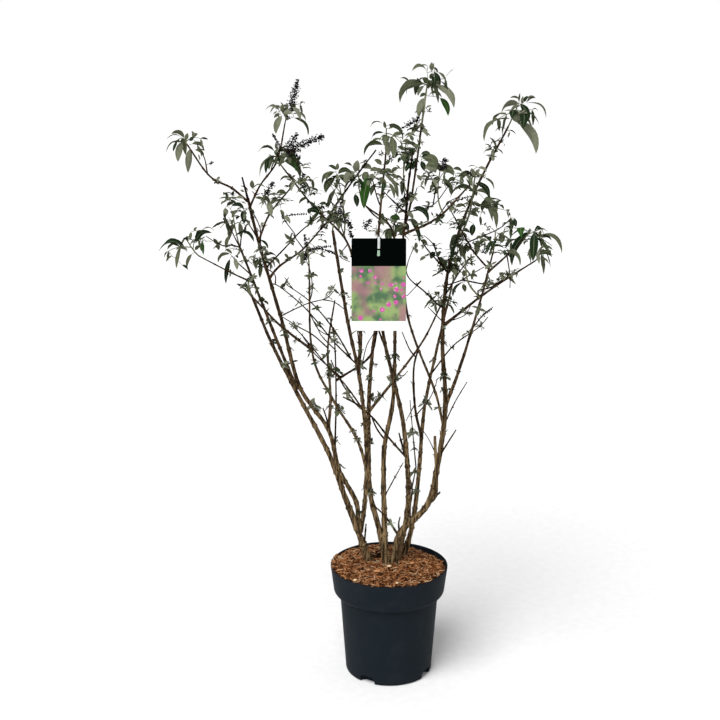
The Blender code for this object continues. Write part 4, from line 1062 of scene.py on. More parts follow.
        (500, 246, 495, 245, 2.4, DARK), (506, 251, 520, 266, 3.2, GREY), (508, 249, 518, 255, 1.6, PALE),
        (503, 280, 500, 274, 1.9, PALE), (504, 280, 506, 276, 1.9, PALE), (488, 289, 484, 282, 3.2, PALE),
        (488, 288, 494, 282, 2.1, GREY),
    )),
    Spray("right_back", 0.168, (
        (538, 254, 553, 250, 2.1, PALE), (539, 255, 552, 257, 4.8, OLIVE), (540, 258, 549, 264, 2.7, GREY),
        (538, 256, 538, 250, 1.6, PALE),
    )),
    Spray("centre_top", -0.12, (
        (411, 143, 402, 142, 4, GREY), (413, 146, 421, 149, 4, GREY), (415, 150, 411, 157, 5, GREY),
        (413, 141, 409, 135, 4, GREY), (404, 150, 397, 147, 4, OLIVE), (409, 155, 401, 158, 5, GREY),
        (411, 163, 406, 172, 5, DARK), (417, 160, 413, 170, 5, DARK), (406, 222, 408, 232, 4, DARK),
        (411, 222, 419, 243, 5, DARK), (410, 219, 416, 229, 5, PALE), (403, 226, 396, 233, 6, OLIVE),
        (407, 224, 401, 236, 7, OLIVE), (399, 219, 391, 223, 5, PALE), (417, 175, 421, 181, 4, PALE),
    )),
    Spray("tall_front", -0.24, (
        (384, 171, 392, 172, 4, GREY), (378, 170, 370, 171, 5, GREY), (379, 178, 385, 188, 6, GREY),
        (384, 182, 383, 193, 4, DARK), (390, 175, 398, 180, 4, GREY), (392, 172, 399, 168, 4, GREY),
        (376, 184, 371, 196, 5, OLIVE), (394, 181, 397, 197, 4, GREY), (389, 183, 394, 199, 3.5, GREY),
        (381, 165, 374, 160, 5, GREY), (386, 165, 390, 160, 4, OLIVE), (376, 176, 368, 186, 6, PALE),
    )),
    Spray("right_top", -0.18, (
        (421, 154, 431, 158, 6, OLIVE), (426, 165, 440, 172, 7, GREY), (434, 179, 433, 188, 4, OLIVE),
        (433, 179, 440, 181, 4, OLIVE), (442, 180, 449, 185, 4, OLIVE), (445, 182, 449, 188, 4, DARK),
        (450, 183, 451, 195, 4.5, GREY), (424, 180, 421, 187, 2.5, PALE), (420, 178, 428, 177, 3, PALE),
        (432, 192, 427, 193, 2, OLIVE), (433, 194, 438, 193, 2, OLIVE), (430, 203, 425, 202, 2, GREY),
    )),
    Spray("right_upper", -0.22, (
        (478, 168, 487, 172, 3, PALE), (476, 175, 480, 169, 4, PALE), (474, 176, 471, 168, 4, PALE),
        (456, 178, 448, 183, 4, OLIVE), (462, 186, 467, 191, 3, GREY), (450, 201, 446, 206, 3, GREY),
        (450, 202, 455, 206, 4, PALE), (464, 186, 456, 190, 3, OLIVE), (456, 207, 463, 206, 4, GREY),
        (453, 206, 450, 212, 4, GREY), (484, 199, 493, 204, 6, GREY), (494, 209, 500, 201, 3, OLIVE),
    )),
    Spray("right_heart", -0.03, (
        (466, 221, 461, 227, 5, OLIVE), (463, 222, 455, 221, 3, GREY), (470, 214, 478, 217, 4, OLIVE),
        (480, 216, 481, 226, 3, OLIVE), (459, 236, 451, 240, 4, GREY), (457, 240, 450, 249, 4, OLIVE),
        (455, 238, 453, 246, 4, GREY), (463, 244, 461, 258, 4, GREY), (479, 243, 488, 241, 4, GREY),
        (476, 238, 483, 238, 3, GREY), (462, 230, 470, 233, 4, OLIVE), (463, 226, 456, 230, 3, GREY),
        (457, 252, 453, 256, 4, OLIVE), (446, 268, 439, 262, 5, OLIVE), (448, 270, 455, 264, 5, OLIVE),
        (443, 262, 437, 258, 5, OLIVE), (435, 252, 431, 259, 6, OLIVE), (426, 257, 420, 261, 3.5, PALE),
        (437, 257, 441, 251, 4, OLIVE), (421, 240, 427, 245, 4, OLIVE), (451, 265, 449, 274, 5, GREY),
        (457, 262, 462, 258, 4, OLIVE),
    )),
)

# Crowds of small leaves: pixel across and down, half width and height in pixels, depth, pairs of leaves,
# leaf length in pixels, and tone
THICKETS = (
    (447, 265, 10, 9, -0.02, 6, 9, GREY), (470, 262, 10, 9, -0.08, 6, 9, OLIVE),
    (450, 300, 9, 9, -0.01, 5, 8, GREY), (372, 232, 10, 5, 0.07, 4, 9, GREY),
    (401, 204, 12, 10, -0.12, 6, 9, OLIVE), (486, 226, 10, 8, -0.05, 5, 8, GREY),
    (232, 200, 12, 9, -0.03, 9, 10, GREY), (241, 213, 10, 9, -0.03, 7, 10, OLIVE),
    (270, 196, 14, 8, 0.06, 9, 10, GREY), (284, 200, 12, 9, 0.05, 8, 10, GREY),
    (311, 190, 10, 9, 0.08, 8, 11, OLIVE), (306, 166, 9, 7, 0.10, 5, 10, GREY),
    (330, 213, 12, 9, 0.05, 9, 10, GREY), (262, 262, 12, 9, 0.12, 8, 10, GREY),
    (228, 246, 10, 8, -0.03, 5, 10, GREY), (200, 238, 10, 8, -0.11, 5, 10, GREY),
    (340, 182, 10, 10, 0.08, 7, 11, GREY), (362, 186, 10, 9, 0.07, 6, 11, OLIVE),
    (276, 160, 9, 7, 0.10, 5, 11, GREY), (318, 236, 8, 6, 0.08, 4, 10, GREY),
    (436, 222, 10, 7, -0.03, 5, 10, GREY), (510, 226, 8, 7, -0.17, 5, 11, OLIVE),
    (532, 240, 9, 7, -0.17, 6, 12, GREY), (520, 112, 8, 6, 0.085, 5, 12, PALE),
    (431, 84, 6, 8, -0.10, 5, 12, PALE), (438, 270, 10, 8, -0.02, 5, 9, GREY),
    (352, 300, 10, 8, 0.05, 4, 9, GREY), (407, 148, 14, 8, -0.12, 12, 11, GREY),
    (408, 160, 12, 8, -0.12, 8, 11, OLIVE), (388, 172, 16, 8, -0.20, 8, 12, GREY),
    (384, 188, 12, 10, -0.20, 6, 12, OLIVE), (432, 178, 12, 6, -0.17, 6, 10, OLIVE),
    (458, 182, 14, 6, -0.20, 8, 10, GREY), (474, 176, 10, 6, -0.22, 6, 10, PALE),
    (456, 208, 14, 6, -0.10, 6, 10, GREY), (471, 212, 12, 8, -0.05, 8, 10, GREY),
    (459, 226, 10, 8, -0.03, 8, 10, GREY), (462, 240, 14, 10, -0.03, 10, 11, OLIVE),
    (480, 242, 10, 6, -0.10, 6, 10, GREY), (452, 256, 12, 8, -0.02, 8, 10, OLIVE),
    (436, 254, 10, 8, 0.0, 6, 9, GREY), (400, 228, 12, 8, 0.08, 9, 11, OLIVE),
    (422, 238, 8, 6, -0.05, 4, 9, GREY), (448, 290, 12, 10, 0.0, 6, 9, GREY),
    (498, 250, 14, 8, -0.17, 8, 11, GREY),
)

# Spent spikes and knots of florets: the pixels of the foot and the tip, the radius in pixels, and the depth
PANICLES = (
    (290, 111, 298, 80, 5.5, 0.10), (285, 154, 324, 136, 6, 0.095), (288, 148, 297, 134, 5, 0.11),
    (290, 156, 300, 157, 4, 0.10), (264, 197, 274, 182, 4, 0.055), (301, 182, 304, 174, 5, 0.03),
    (340, 210, 352, 229, 4.5, 0.06), (349, 231, 352, 237, 4, 0.06), (364, 229, 371, 220, 4.5, 0.07),
    (305, 252, 317, 248, 3, 0.10), (317, 248, 336, 254, 2.6, 0.09), (305, 258, 308, 254, 4, 0.10),
    (302, 264, 304, 260, 3, 0.10), (303, 260, 309, 249, 5, 0.11), (309, 251, 331, 246, 2.4, 0.10),
    (402, 128, 418, 120, 3, -0.20), (414, 122, 418, 118, 3.5, -0.15), (380, 155, 383, 152, 3, -0.12),
    (389, 160, 394, 156, 4, -0.12), (396, 154, 398, 152, 3, -0.12), (406, 156, 412, 150, 5, -0.10),
    (440, 170, 446, 159, 6, -0.175), (444, 184, 447, 180, 2.5, -0.18), (454, 202, 471, 196, 2, -0.21),
    (429, 112, 430, 108, 1.7, -0.10), (482, 253, 487, 247, 4.5, -0.03), (478, 320, 492, 309, 2, 0.19),
    (288, 120, 290, 116, 2.4, 0.10), (285, 216, 307, 214, 1.5, 0.05), (209, 164, 214, 162, 1.5, 0.10),
)


@dataclass
class Framework:
    """The woody frame: limbs with bark relief and swollen nodes, and the thin whips that leave them."""

    sight: Sight
    step: float = 0.0055
    whip_step: float = 0.008
    limb_sides: int = 14
    whip_sides: int = 7
    flare: float = 0.35
    flare_height: float = 0.05
    slim_top: float = 0.06
    collar: float = 0.30
    collar_length: float = 0.010
    node_gap: tuple[float, float] = (0.040, 0.075)
    node_swell: float = 0.30
    node_length: float = 0.0030
    limb_taper: float = 0.8
    slim_from: float = 0.75
    slim_span: float = 0.4
    young: float = 0.0035
    whip_skin: float = 0.00030
    whip_taper: tuple[float, float] = (1.18, 0.50)
    whip_seed: int = 100
    ridges: tuple[tuple[int, float], ...] = ((2, 0.045), (3, 0.040), (5, 0.030), (6, 0.020))
    ripples: tuple[tuple[float, float], ...] = ((0.019, 0.035), (0.047, 0.035))
    bud_seed: int = 7
    lost_buds: float = 0.25
    bud_lengths: tuple[float, ...] = (0.0025, 0.004, 0.005, 0.010)
    runs: dict[str, Run] = field(default_factory=dict)
    whips: list[Run] = field(default_factory=list)
    nodes: list[tuple[Vector, Vector, float]] = field(default_factory=list)
    noted: list[np.ndarray] = field(default_factory=list)
    depth_weight: float = 45.0

    def lay_out(self) -> None:
        """Works out the run of every limb and whip."""
        for limb in LIMBS:
            self.runs[limb.name] = self._limb_run(limb)
        for whip in WHIPS:
            self.whips.append(self._whip_run(whip))
        for run in self.all_runs():
            self.note_wood(run.places)

    def note_wood(self, places: np.ndarray) -> None:
        """Remembers the places along some wood, and the pixels at which they show."""
        self.noted.append(np.hstack([places, self.sight.pixel(places)]))

    def wood_near(self, u: float, v: float, depth: float | None = None) -> Vector:
        """The place on the wood that shows nearest to a pixel.

        Args:
            u: Pixels from the frame's left edge.
            v: Pixels from the frame's top edge.
            depth: The Y in metres that the place is to be near to, if any.

        Returns:
            The place.
        """
        noted = np.concatenate(self.noted)
        gaps = np.hypot(noted[:, 3] - u, noted[:, 4] - v)
        if depth is not None:
            gaps += self.depth_weight * np.abs(noted[:, 1] - depth)
        return Vector(noted[gaps.argmin(), :3])

    def _limb_run(self, limb: Limb) -> Run:
        """The run of a limb, with the taper and flare of its solid.

        Args:
            limb: The limb.

        Returns:
            Its run.
        """
        places = smooth_run(limb.points, self.step)
        run = Run(places, np.zeros(len(places)))
        share = run.along / run.length
        radii = limb.foot_radius + (limb.tip_radius - limb.foot_radius) * share**self.limb_taper
        if limb.carried:
            radii = radii * (1 + self.collar * np.exp(-run.along / self.collar_length))
        else:
            radii = radii * (1 + self.flare * np.clip(1 - run.along / self.flare_height, 0, 1))
        high = np.clip((places[:, 2] - self.slim_from) / self.slim_span, 0, 1)
        return Run(places, radii * limb.slim * (1 - self.slim_top * high))

    def _whip_run(self, whip: Whip) -> Run:
        """The run of a whip: its foot on the nearest wood, the rest where the photograph shows it.

        Args:
            whip: The whip.

        Returns:
            Its run.
        """
        pixels = list(zip(whip.pixels[::2], whip.pixels[1::2]))
        foot = self.nearest_wood(self.sight.place(*pixels[0], whip.foot_depth))
        depths = np.linspace(foot.y, whip.tip_depth, len(pixels))
        points = [foot] + [self.sight.place(u, v, depth) for (u, v), depth in zip(pixels[1:], depths[1:])]
        places = smooth_run(points, self.whip_step)
        share = np.linspace(0, 1, len(places))
        wide, narrowing = self.whip_taper
        return Run(places, (whip.radius + self.whip_skin) * (wide - narrowing * share))

    def nearest_wood(self, place: Vector) -> Vector:
        """The middle of the wood that lies nearest to a place."""
        best = min(self.all_runs(), key=lambda run: run.nearest(place)[0])
        return best.at(best.nearest(place)[1])[0]

    def all_runs(self) -> list[Run]:
        """Every limb and whip so far."""
        return [*self.runs.values(), *self.whips]

    def _relief(self, run: Run, sides: int, seed: int) -> np.ndarray:
        """Ridges along a stem, and swellings where leaves once stood. It also notes those nodes.

        Args:
            run: The run of the stem.
            sides: The sides of its tube.
            seed: The seed of its chances.

        Returns:
            Factors on the radius, a row for each place and a column for each side.
        """
        draw = random.Random(seed)
        turns = np.arange(sides) * math.tau / sides
        relief = np.ones((len(run.places), sides))
        for waves, amount in self.ridges:
            length, phase = draw.uniform(0.05, 0.14), draw.uniform(0, math.tau)
            relief += amount * np.cos(waves * turns[None] + math.tau * run.along[:, None] / length + phase)
        for length, amount in self.ripples:
            relief += amount * np.sin(math.tau * run.along / length + draw.uniform(0, math.tau))[:, None]
        here = draw.uniform(*self.node_gap)
        turn = draw.uniform(0, math.tau)
        while here < run.length - 0.01:
            swell = self.node_swell * np.exp(-(((run.along - here) / self.node_length) ** 2))
            relief += swell[:, None]
            place, heading, radius = run.at(here / run.length)
            across = Matrix.Rotation(turn, 3, heading) @ heading.orthogonal().normalized()
            self.nodes.append((place, across, radius))
            turn += math.pi / 2
            here += draw.uniform(*self.node_gap)
        return relief

    def build(self, bark: bpy.types.Material, thin: bpy.types.Material, green: bpy.types.Material) -> None:
        """Makes the limbs and the whips, and the bud stubs at their nodes.

        Args:
            bark: The finish of the limbs.
            thin: The finish of the whips.
            green: The finish of the pale green shoots.
        """
        old, young, whips, pale = Cluster(), Cluster(), Cluster(), Cluster()
        replaced: dict[int, list[str]] = {id(old): [], id(young): []}
        for seed, limb in enumerate(LIMBS):
            run = self.runs[limb.name]
            wood = old if limb.foot_radius > self.young else young
            wood.add(*tube(run.places, run.radii, self.limb_sides, self._relief(run, self.limb_sides, seed)))
            replaced[id(wood)].append(limb.name)
        for seed, (run, whip) in enumerate(zip(self.whips, WHIPS)):
            relief = self._relief(run, self.whip_sides, self.whip_seed + seed)
            (pale if whip.pale else whips).add(*tube(run.places, run.radii, self.whip_sides, relief))
        self._add_stubs(whips)
        ride(old.build("stems_and_boughs", [bark]), "old_bark", *replaced[id(old)])
        ride(young.build("young_boughs", [bark]), "young_bark", *replaced[id(young)])
        ride(whips.build("whips_and_stubs", [thin]), "young_bark")
        ride(pale.build("green_shoots", [green]), "young_bark")

    def _add_stubs(self, cluster: Cluster) -> None:
        """Small opposite buds and broken side shoots at the nodes.

        Args:
            cluster: What they are added to.
        """
        draw = random.Random(self.bud_seed)
        for place, across, radius in self.nodes:
            for side in (-1, 1):
                if draw.random() < self.lost_buds:
                    continue
                length = draw.choice(self.bud_lengths) * draw.uniform(0.8, 1.2)
                foot = place + across * side * radius * 0.5
                aim = (across * side + UP * draw.uniform(0.5, 1.4)).normalized()
                tip = foot + aim * (radius * 0.6 + length)
                thick = min(radius * 0.5, draw.uniform(0.0009, 0.0014))
                path = arc(foot, foot.lerp(tip, 0.5) + across * side * 0.001, tip, 3)
                cluster.add(*tube(path, thick * np.array([1.1, 1.2, 0.9, 0.35]), 5))


class LeafPress:
    """Makes closed leaf blades that arch and droop, with a pale midrib along the upper side."""

    def __init__(self, rows: int, across: Sequence[float]) -> None:
        """Works out the faces that every blade of this fineness shares.

        Args:
            rows: Faces along the blade.
            across: Where the points lie across it, from -1 at one edge to 1 at the other.
        """
        self.shares = np.linspace(0, 1, rows + 1)
        self.half = (4 * self.shares * (1 - self.shares)) ** 0.80 * (1.16 - 0.44 * self.shares)
        self.across = np.array(across)
        inner, columns = rows - 1, len(across)
        upper = 1 + np.arange(inner * columns).reshape(inner, columns)
        lower = upper.copy()
        lower[:, 1:-1] = 1 + inner * columns + np.arange(inner * (columns - 2)).reshape(inner, columns - 2)
        self.tip_number = 1 + inner * columns + inner * (columns - 2)
        strips = columns - 1
        rib = np.full(strips, 2 if strips % 2 else 0)
        rib[: strips // 2] = rib[strips - strips // 2 :] = 0
        quads, triangles, quad_slots, triangle_slots = [], [], [], []
        for grid, flip, slots in ((upper, False, rib), (lower, True, np.full(strips, 1))):
            a, b, c, d = grid[:-1, :-1], grid[1:, :-1], grid[1:, 1:], grid[:-1, 1:]
            corners = (a, d, c, b) if flip else (a, b, c, d)
            quads.append(np.stack(corners, axis=-1).reshape(-1, 4))
            quad_slots.append(np.tile(slots, inner - 1))
            for row, apex, turned in ((grid[0], 0, flip), (grid[-1], self.tip_number, not flip)):
                ends = (row[:-1], row[1:]) if turned else (row[1:], row[:-1])
                triangles.append(np.stack([np.full(strips, apex), *ends], axis=-1))
                triangle_slots.append(slots)
        self.quads, self.triangles = np.concatenate(quads), np.concatenate(triangles)
        self.quad_slots, self.triangle_slots = np.concatenate(quad_slots), np.concatenate(triangle_slots)

    def press(self, cluster: Cluster, root: Vector, control: Vector, tip: Vector, width: float, roll: float,
              twist: float, cup: float, wave: float, facing: Vector | None = None) -> None:
        """Adds a blade.

        Args:
            cluster: What the blade is added to.
            root: Where the blade starts.
            control: Where it heads for at first.
            tip: Where it ends.
            width: Its greatest width, in metres.
            roll: Its turn about its own line at the root, in radians.
            twist: How much further it has turned at the tip.
            cup: How far its edges rise over its midrib, as a share of its half width.
            wave: How far its edges ripple, as a share of its half width.
            facing: The way that its upper side faces with no roll. Without it, that is outside its arch.
        """
        share = self.shares[1:-1, None]
        a, b, c = (np.array(point) for point in (root, control, tip))
        centre = (1 - share) ** 2 * a + 2 * share * (1 - share) * b + share**2 * c
        along = (1 - share) * (b - a) + share * (c - b)
        along /= np.linalg.norm(along, axis=1)[:, None]
        side = np.cross(b - a, c - b) if facing is None else np.cross(np.array(facing), c - a)
        if np.linalg.norm(side) < 1e-9:
            side = np.cross(c - a, (0.31, 0.17, 1.0))
        side = side - along * (along @ side)[:, None]
        side /= np.linalg.norm(side, axis=1)[:, None]
        normal = np.cross(along, side)
        angle = roll + twist * (share - 0.5)
        cosine, sine = np.cos(angle), np.sin(angle)
        side, normal = side * cosine + normal * sine, normal * cosine - side * sine
        half = (self.half[1:-1] * width / 2)[:, None, None]
        x = self.across[None, :, None]
        lift = cup * np.abs(x) ** 1.4 + wave * np.sin(share[:, :, None] * 17.0 + x * 2.0) * np.abs(x)
        spread = side[:, None] * x * half * (1 - 0.15 * cup**2)
        middle = centre[:, None] + spread + normal[:, None] * lift * half
        thick = normal[:, None] * (1 - x**2) * half * 0.07
        upper, lower = middle + thick, (middle - thick)[:, 1:-1]
        points = np.concatenate([a[None], upper.reshape(-1, 3), lower.reshape(-1, 3), c[None]])
        cluster.add(points, self.quads, self.triangles, (self.quad_slots, self.triangle_slots))


@dataclass
class Foliage:
    """Every leaf, fine twig and spent flower spike, each kind gathered apart."""

    frame: Framework
    pair_gap: float = 0.034
    twig_radius: float = 0.0021
    shoot_radius: float = 0.0014
    tip_radius: float = 0.0007
    fine_from: float = 0.034
    leaf_width: tuple[float, float] = (0.24, 0.31)
    least_leaf: float = 0.015
    twig_from: float = 0.0035
    floret_area: float = 5.5e-6
    floret_cover: float = 1.35
    full_girth: float = 0.0125
    clump_gap: float = 0.0048
    mass_seed: int = 1000
    spray_seed: int = 300
    thicket_seed: int = 55
    spike_seed: int = 77
    tuft_seed: int = 21
    tuft_chances: tuple[tuple[float, float], ...] = ((0.42, 0.0), (0.80, 0.06), (1.0, 0.20), (math.inf, 0.30))
    fine: LeafPress = field(default_factory=lambda: LeafPress(9, (-1, -0.52, -0.07, 0.07, 0.52, 1)))
    plain: LeafPress = field(default_factory=lambda: LeafPress(5, (-1, 0, 1)))
    leaves: dict[Tone, Cluster] = field(default_factory=lambda: {tone: Cluster() for tone in Tone})
    twigs: Cluster = field(default_factory=Cluster)
    spikes: Cluster = field(default_factory=Cluster)
    count: int = 0

    def leaf(self, draw: random.Random, root: Vector, control: Vector, tip: Vector, tone: Tone,
             broad: float) -> None:
        """Adds one leaf that faces out of its own arch, with small chance turns.

        Args:
            draw: The source of chance.
            root: Where it starts.
            control: Where it heads for at first.
            tip: Where it ends.
            tone: Its tone.
            broad: Its width, as a share of the usual.
        """
        length = (control - root).length + (tip - control).length
        press = self.fine if length > self.fine_from else self.plain
        width = length * broad * draw.uniform(*self.leaf_width)
        roll, twist = draw.uniform(-0.35, 0.35), draw.uniform(-0.7, 0.7)
        cup, wave = draw.uniform(-0.45, 0.30), draw.uniform(0.02, 0.10)
        press.press(self.leaves[tone], root, control, tip, width, roll, twist, cup, wave)
        self.count += 1

    def arched(self, draw: random.Random, root: Vector, out: Vector, along: Vector, length: float,
               hang: float, tone: Tone, broad: float) -> None:
        """Adds a leaf that leaves a twig sideways, arches over and droops.

        Args:
            draw: The source of chance.
            root: Where it starts, on the twig.
            out: The way it leaves, square to the twig.
            along: The way the twig runs.
            length: The leaf's length, in metres.
            hang: How far it droops: 0 is level, 1 is well down.
            tone: Its tone.
            broad: Its width, as a share of the usual.
        """
        lift = draw.uniform(0.25, 0.75)
        control = root + (out + along * lift).normalized() * (length * 0.46)
        fall = (out * (1 - 0.45 * hang) + along * 0.1 - UP * hang * draw.uniform(0.7, 1.4)).normalized()
        self.leaf(draw, root, control, control + fall * (length * 0.54), tone, broad)

    def whorl(self, draw: random.Random, place: Vector, along: Vector, length: float, tone: Tone) -> None:
        """Adds the small upright leaves at a shoot's very tip.

        Args:
            draw: The source of chance.
            place: The tip.
            along: The way the shoot runs.
            length: The length of the largest leaf, in metres.
            tone: The leaves' tone.
        """
        across = along.orthogonal().normalized()
        for index in range(3):
            out = Matrix.Rotation(index * GOLDEN_TURN, 3, along) @ across
            size = length * draw.uniform(0.55, 1.0)
            control = place + (along + out * 0.5).normalized() * size * 0.5
            tip = control + (along * 0.3 + out).normalized() * size * 0.5
            self.leaf(draw, place, control, tip, tone, 1.2)

    def tuft(self, draw: random.Random, place: Vector, out: Vector, length: float, tone: Tone) -> None:
        """Adds a small leafy side bud: three pairs of broad leaves on a short stalk.

        Args:
            draw: The source of chance.
            place: Where it starts, on the wood.
            out: The way it leaves the wood.
            length: The length of its usual leaf, in metres.
            tone: The leaves' tone.
        """
        heading = (out + UP * 0.8).normalized()
        end = place + heading * length * 0.32
        self.twigs.add(*tube(arc(place, place.lerp(end, 0.5), end, 2), np.array([0.0012, 0.0010, 0.0008]), 5))
        across = heading.orthogonal().normalized()
        turn = draw.uniform(0, math.tau)
        for pair, size in enumerate((0.85, 1.0, 0.55)):
            for half in (0, math.pi):
                side = Matrix.Rotation(turn + pair * math.pi / 2 + half, 3, heading) @ across
                size_here = length * size * draw.uniform(0.75, 1.1)
                start = place.lerp(end, 0.5 + 0.25 * pair)
                self.arched(draw, start, side, heading, size_here, 0.3, tone, 1.8)

    def floret(self, draw: random.Random, place: Vector, out: Vector) -> None:
        """Adds one dried floret: a slim bud with a waist.

        Args:
            draw: The source of chance.
            place: Where it sits.
            out: About the way that it points.
        """
        stray = Vector((draw.uniform(-1, 1), draw.uniform(-1, 1), draw.uniform(-0.8, 1)))
        aim = (out + stray * 0.8).normalized()
        base = place - aim * 0.0016
        bud = arc(base, base + aim * 0.0016, base + aim * draw.uniform(0.0034, 0.0056), 3)
        self.spikes.add(*tube(bud, np.array([0.0006, 0.0013, 0.0015, 0.0005]) * draw.uniform(0.75, 1.15), 4))

    def spike(self, draw: random.Random, start: Vector, end: Vector, girth: float) -> None:
        """Adds a spent flower spike: short side stalks full of dried florets, thinner towards its tip.

        Args:
            draw: The source of chance.
            start: Its foot, on a twig.
            end: Its tip.
            girth: Its radius near the foot, in metres.
        """
        length = (end - start).length
        path = arc(start, start.lerp(end, 0.5) + UP * length * 0.05, end, 6)
        run = Run(path, np.linspace(0.0013, 0.0007, 7))
        self.spikes.add(*tube(run.places, run.radii, 5))
        across = (end - start).orthogonal().normalized()
        clumps = max(3, round(length / self.clump_gap))
        fullness = min(1.0, (girth / self.full_girth) ** 0.7)
        florets = max(8, round(length * girth * self.floret_cover / self.floret_area * fullness))
        for index in range(clumps):
            share = (index + draw.uniform(0.1, 0.9)) / clumps
            place, along, _ = run.at(share)
            swell = girth * (1.0 - 0.72 * share) * draw.uniform(0.55, 1.15)
            for petal in range(3):
                turn = index * GOLDEN_TURN + petal * math.tau / 3 + draw.uniform(-0.4, 0.4)
                out = Matrix.Rotation(turn, 3, along) @ across
                head = place + (out + along * draw.uniform(0.1, 0.6)).normalized() * swell * 0.72
                stalk = arc(place, place.lerp(head, 0.5), head, 2)
                self.spikes.add(*tube(stalk, np.array([5e-4, 4e-4, 4e-4]), 3))
                for _ in range(max(1, round(florets / clumps / 3))):
                    off = Vector([draw.gauss(0, 1) for _ in range(3)]) * min(0.0032, swell * 0.42)
                    self.floret(draw, head + off, out)

    def grow_mass(self, mass: Mass, seed: int, traced: bool) -> None:
        """Grows one mass by the rule of its solid: a stem, shoots that leave it, pairs of leaves, and spikes.

        Args:
            mass: The mass.
            seed: The seed of its chances and turns.
            traced: Whether its leaves that show in the photograph have a spray of their own. The rule then
                adds only those that point towards the front or the back.
        """
        draw = random.Random(self.mass_seed + seed)
        centre, reach = Vector(mass.centre), Vector(mass.reach)
        place, along, _ = self.frame.runs[mass.carrier].at(mass.height)
        out = centre - place
        heading = along if mass.height >= 1.0 else (out - along * out.dot(along)).normalized()
        end = centre + UP * reach.z * 0.35
        taper = np.linspace(self.twig_radius, self.shoot_radius, 11)
        stem = Run(arc(place, place + heading * out.length * 0.45, end, 10), taper)
        self.twigs.add(*tube(stem.places, stem.radii, 6))
        self.frame.note_wood(stem.places)
        shoots = [(stem, 0.60)]
        for index in range(mass.shoots):
            start, way, _ = stem.at(0.45 + 0.4 * index / mass.shoots)
            turn = index * GOLDEN_TURN + seed
            spread = Vector((math.cos(turn) * reach.x, math.sin(turn) * reach.y, 0)) * 0.52
            goal = centre + spread + UP * reach.z * draw.uniform(-0.15, 0.45)
            shoots.append((self.shoot(start, way, goal, self.shoot_radius), 0.45))
        for run, first in shoots:
            self.dress_shoot(draw, run, first, mass, traced)
        for spike in mass.spikes:
            tip = Vector(spike)
            best = min((run for run, _ in shoots), key=lambda run: (Vector(run.places[-1]) - tip).length)
            self.spike(draw, best.at(0.9)[0], tip, 0.007)

    def shoot(self, start: Vector, way: Vector, goal: Vector, radius: float) -> Run:
        """Adds a shoot that leaves a stem a little along it.

        Args:
            start: Its foot, on the stem.
            way: The way the stem runs there.
            goal: Its tip.
            radius: Its radius at its foot, in metres.

        Returns:
            Its run.
        """
        path = arc(start, start.lerp(goal, 0.5) + way * 0.012, goal, 6)
        run = Run(path, np.linspace(radius, self.tip_radius, 7))
        self.twigs.add(*tube(run.places, run.radii, 5))
        self.frame.note_wood(run.places)
        return run

    def dress_shoot(self, draw: random.Random, run: Run, first: float, mass: Mass, traced: bool) -> None:
        """Sets opposite leaves along a shoot, each pair turned a quarter, the longest just below its tip.

        Args:
            draw: The source of chance.
            run: The run of the shoot.
            first: The share of the way at which the first pair stands.
            mass: The mass that the shoot belongs to.
            traced: Whether the leaves that show in the photograph are in a spray of their own.
        """
        tone = draw.choices((PALE, GREY, OLIVE, DARK), (0.24, 0.42, 0.22, 0.12))[0]
        centre, reach = Vector(mass.centre), Vector(mass.reach)
        pairs = max(1, round(run.length * (1 - first) / self.pair_gap))
        broad = 1.0 if traced else 1.15
        turn = draw.uniform(0, math.tau)
        for pair in range(pairs + 1):
            share = first + (0.97 - first) * pair / pairs
            place, along, _ = run.at(share)
            across = along.orthogonal().normalized()
            turn += math.pi / 2 + draw.uniform(-0.3, 0.3)
            size = mass.leaf * (0.72 + 0.28 * share) * min(1.0, 0.40 + (1 - share) * run.length / 0.040)
            for half in (0, math.pi):
                side = Matrix.Rotation(turn + half, 3, along) @ across
                length = size * draw.uniform(0.75, 1.05)
                odd = draw.random()
                # A tenth of the leaves are made DARK, partly painted shade inside the crown.
                leaf_tone = DARK if odd < 0.10 else BRIGHT if traced and odd < 0.12 else tone
                if (traced and abs(side.x) > 0.5) or (not traced and draw.random() < 0.2):
                    continue
                while length > self.least_leaf:
                    if self.holds(place + side * length * 0.55 - UP * length * 0.35, centre, reach):
                        break
                    length *= 0.8
                self.arched(draw, place, side, along, length, draw.uniform(0.6, 1.25), leaf_tone, broad)
                if draw.random() < 0.14:
                    self.tuft(draw, place, side, draw.uniform(0.012, 0.020), tone)
        if not traced:
            place, along, _ = run.at(1.0)
            length = mass.leaf * draw.uniform(0.26, 0.38)
            self.whorl(draw, place, (along + UP * 0.6).normalized(), length, tone)

    @staticmethod
    def holds(place: Vector, centre: Vector, reach: Vector) -> bool:
        """Whether a place lies in the space of a mass, or just outside it."""
        return sum(((place[axis] - centre[axis]) / reach[axis]) ** 2 for axis in range(3)) <= 1.2

    def footing(self, draw: random.Random, u: float, v: float, depth: float) -> Vector:
        """The place at a pixel, at the depth of the wood nearest to it. Off the wood, it gets a fine twig.

        Args:
            draw: The source of chance.
            u: Pixels from the frame's left edge.
            v: Pixels from the frame's top edge.
            depth: About the Y of the wood, in metres.

        Returns:
            The place.
        """
        wood = self.frame.wood_near(u, v, depth)
        foot = self.frame.sight.place(u, v, wood.y + draw.uniform(-0.004, 0.004))
        gap = (foot - wood).length
        if gap > self.twig_from:
            bend = wood.lerp(foot, 0.5) + Vector((0, draw.uniform(-0.004, 0.004), 0.10 * gap))
            path = arc(wood, bend, foot, 5)
            self.twigs.add(*tube(path, np.linspace(1.1, 0.8, 6) * self.tip_radius, 5))
            self.frame.note_wood(path)
        return foot

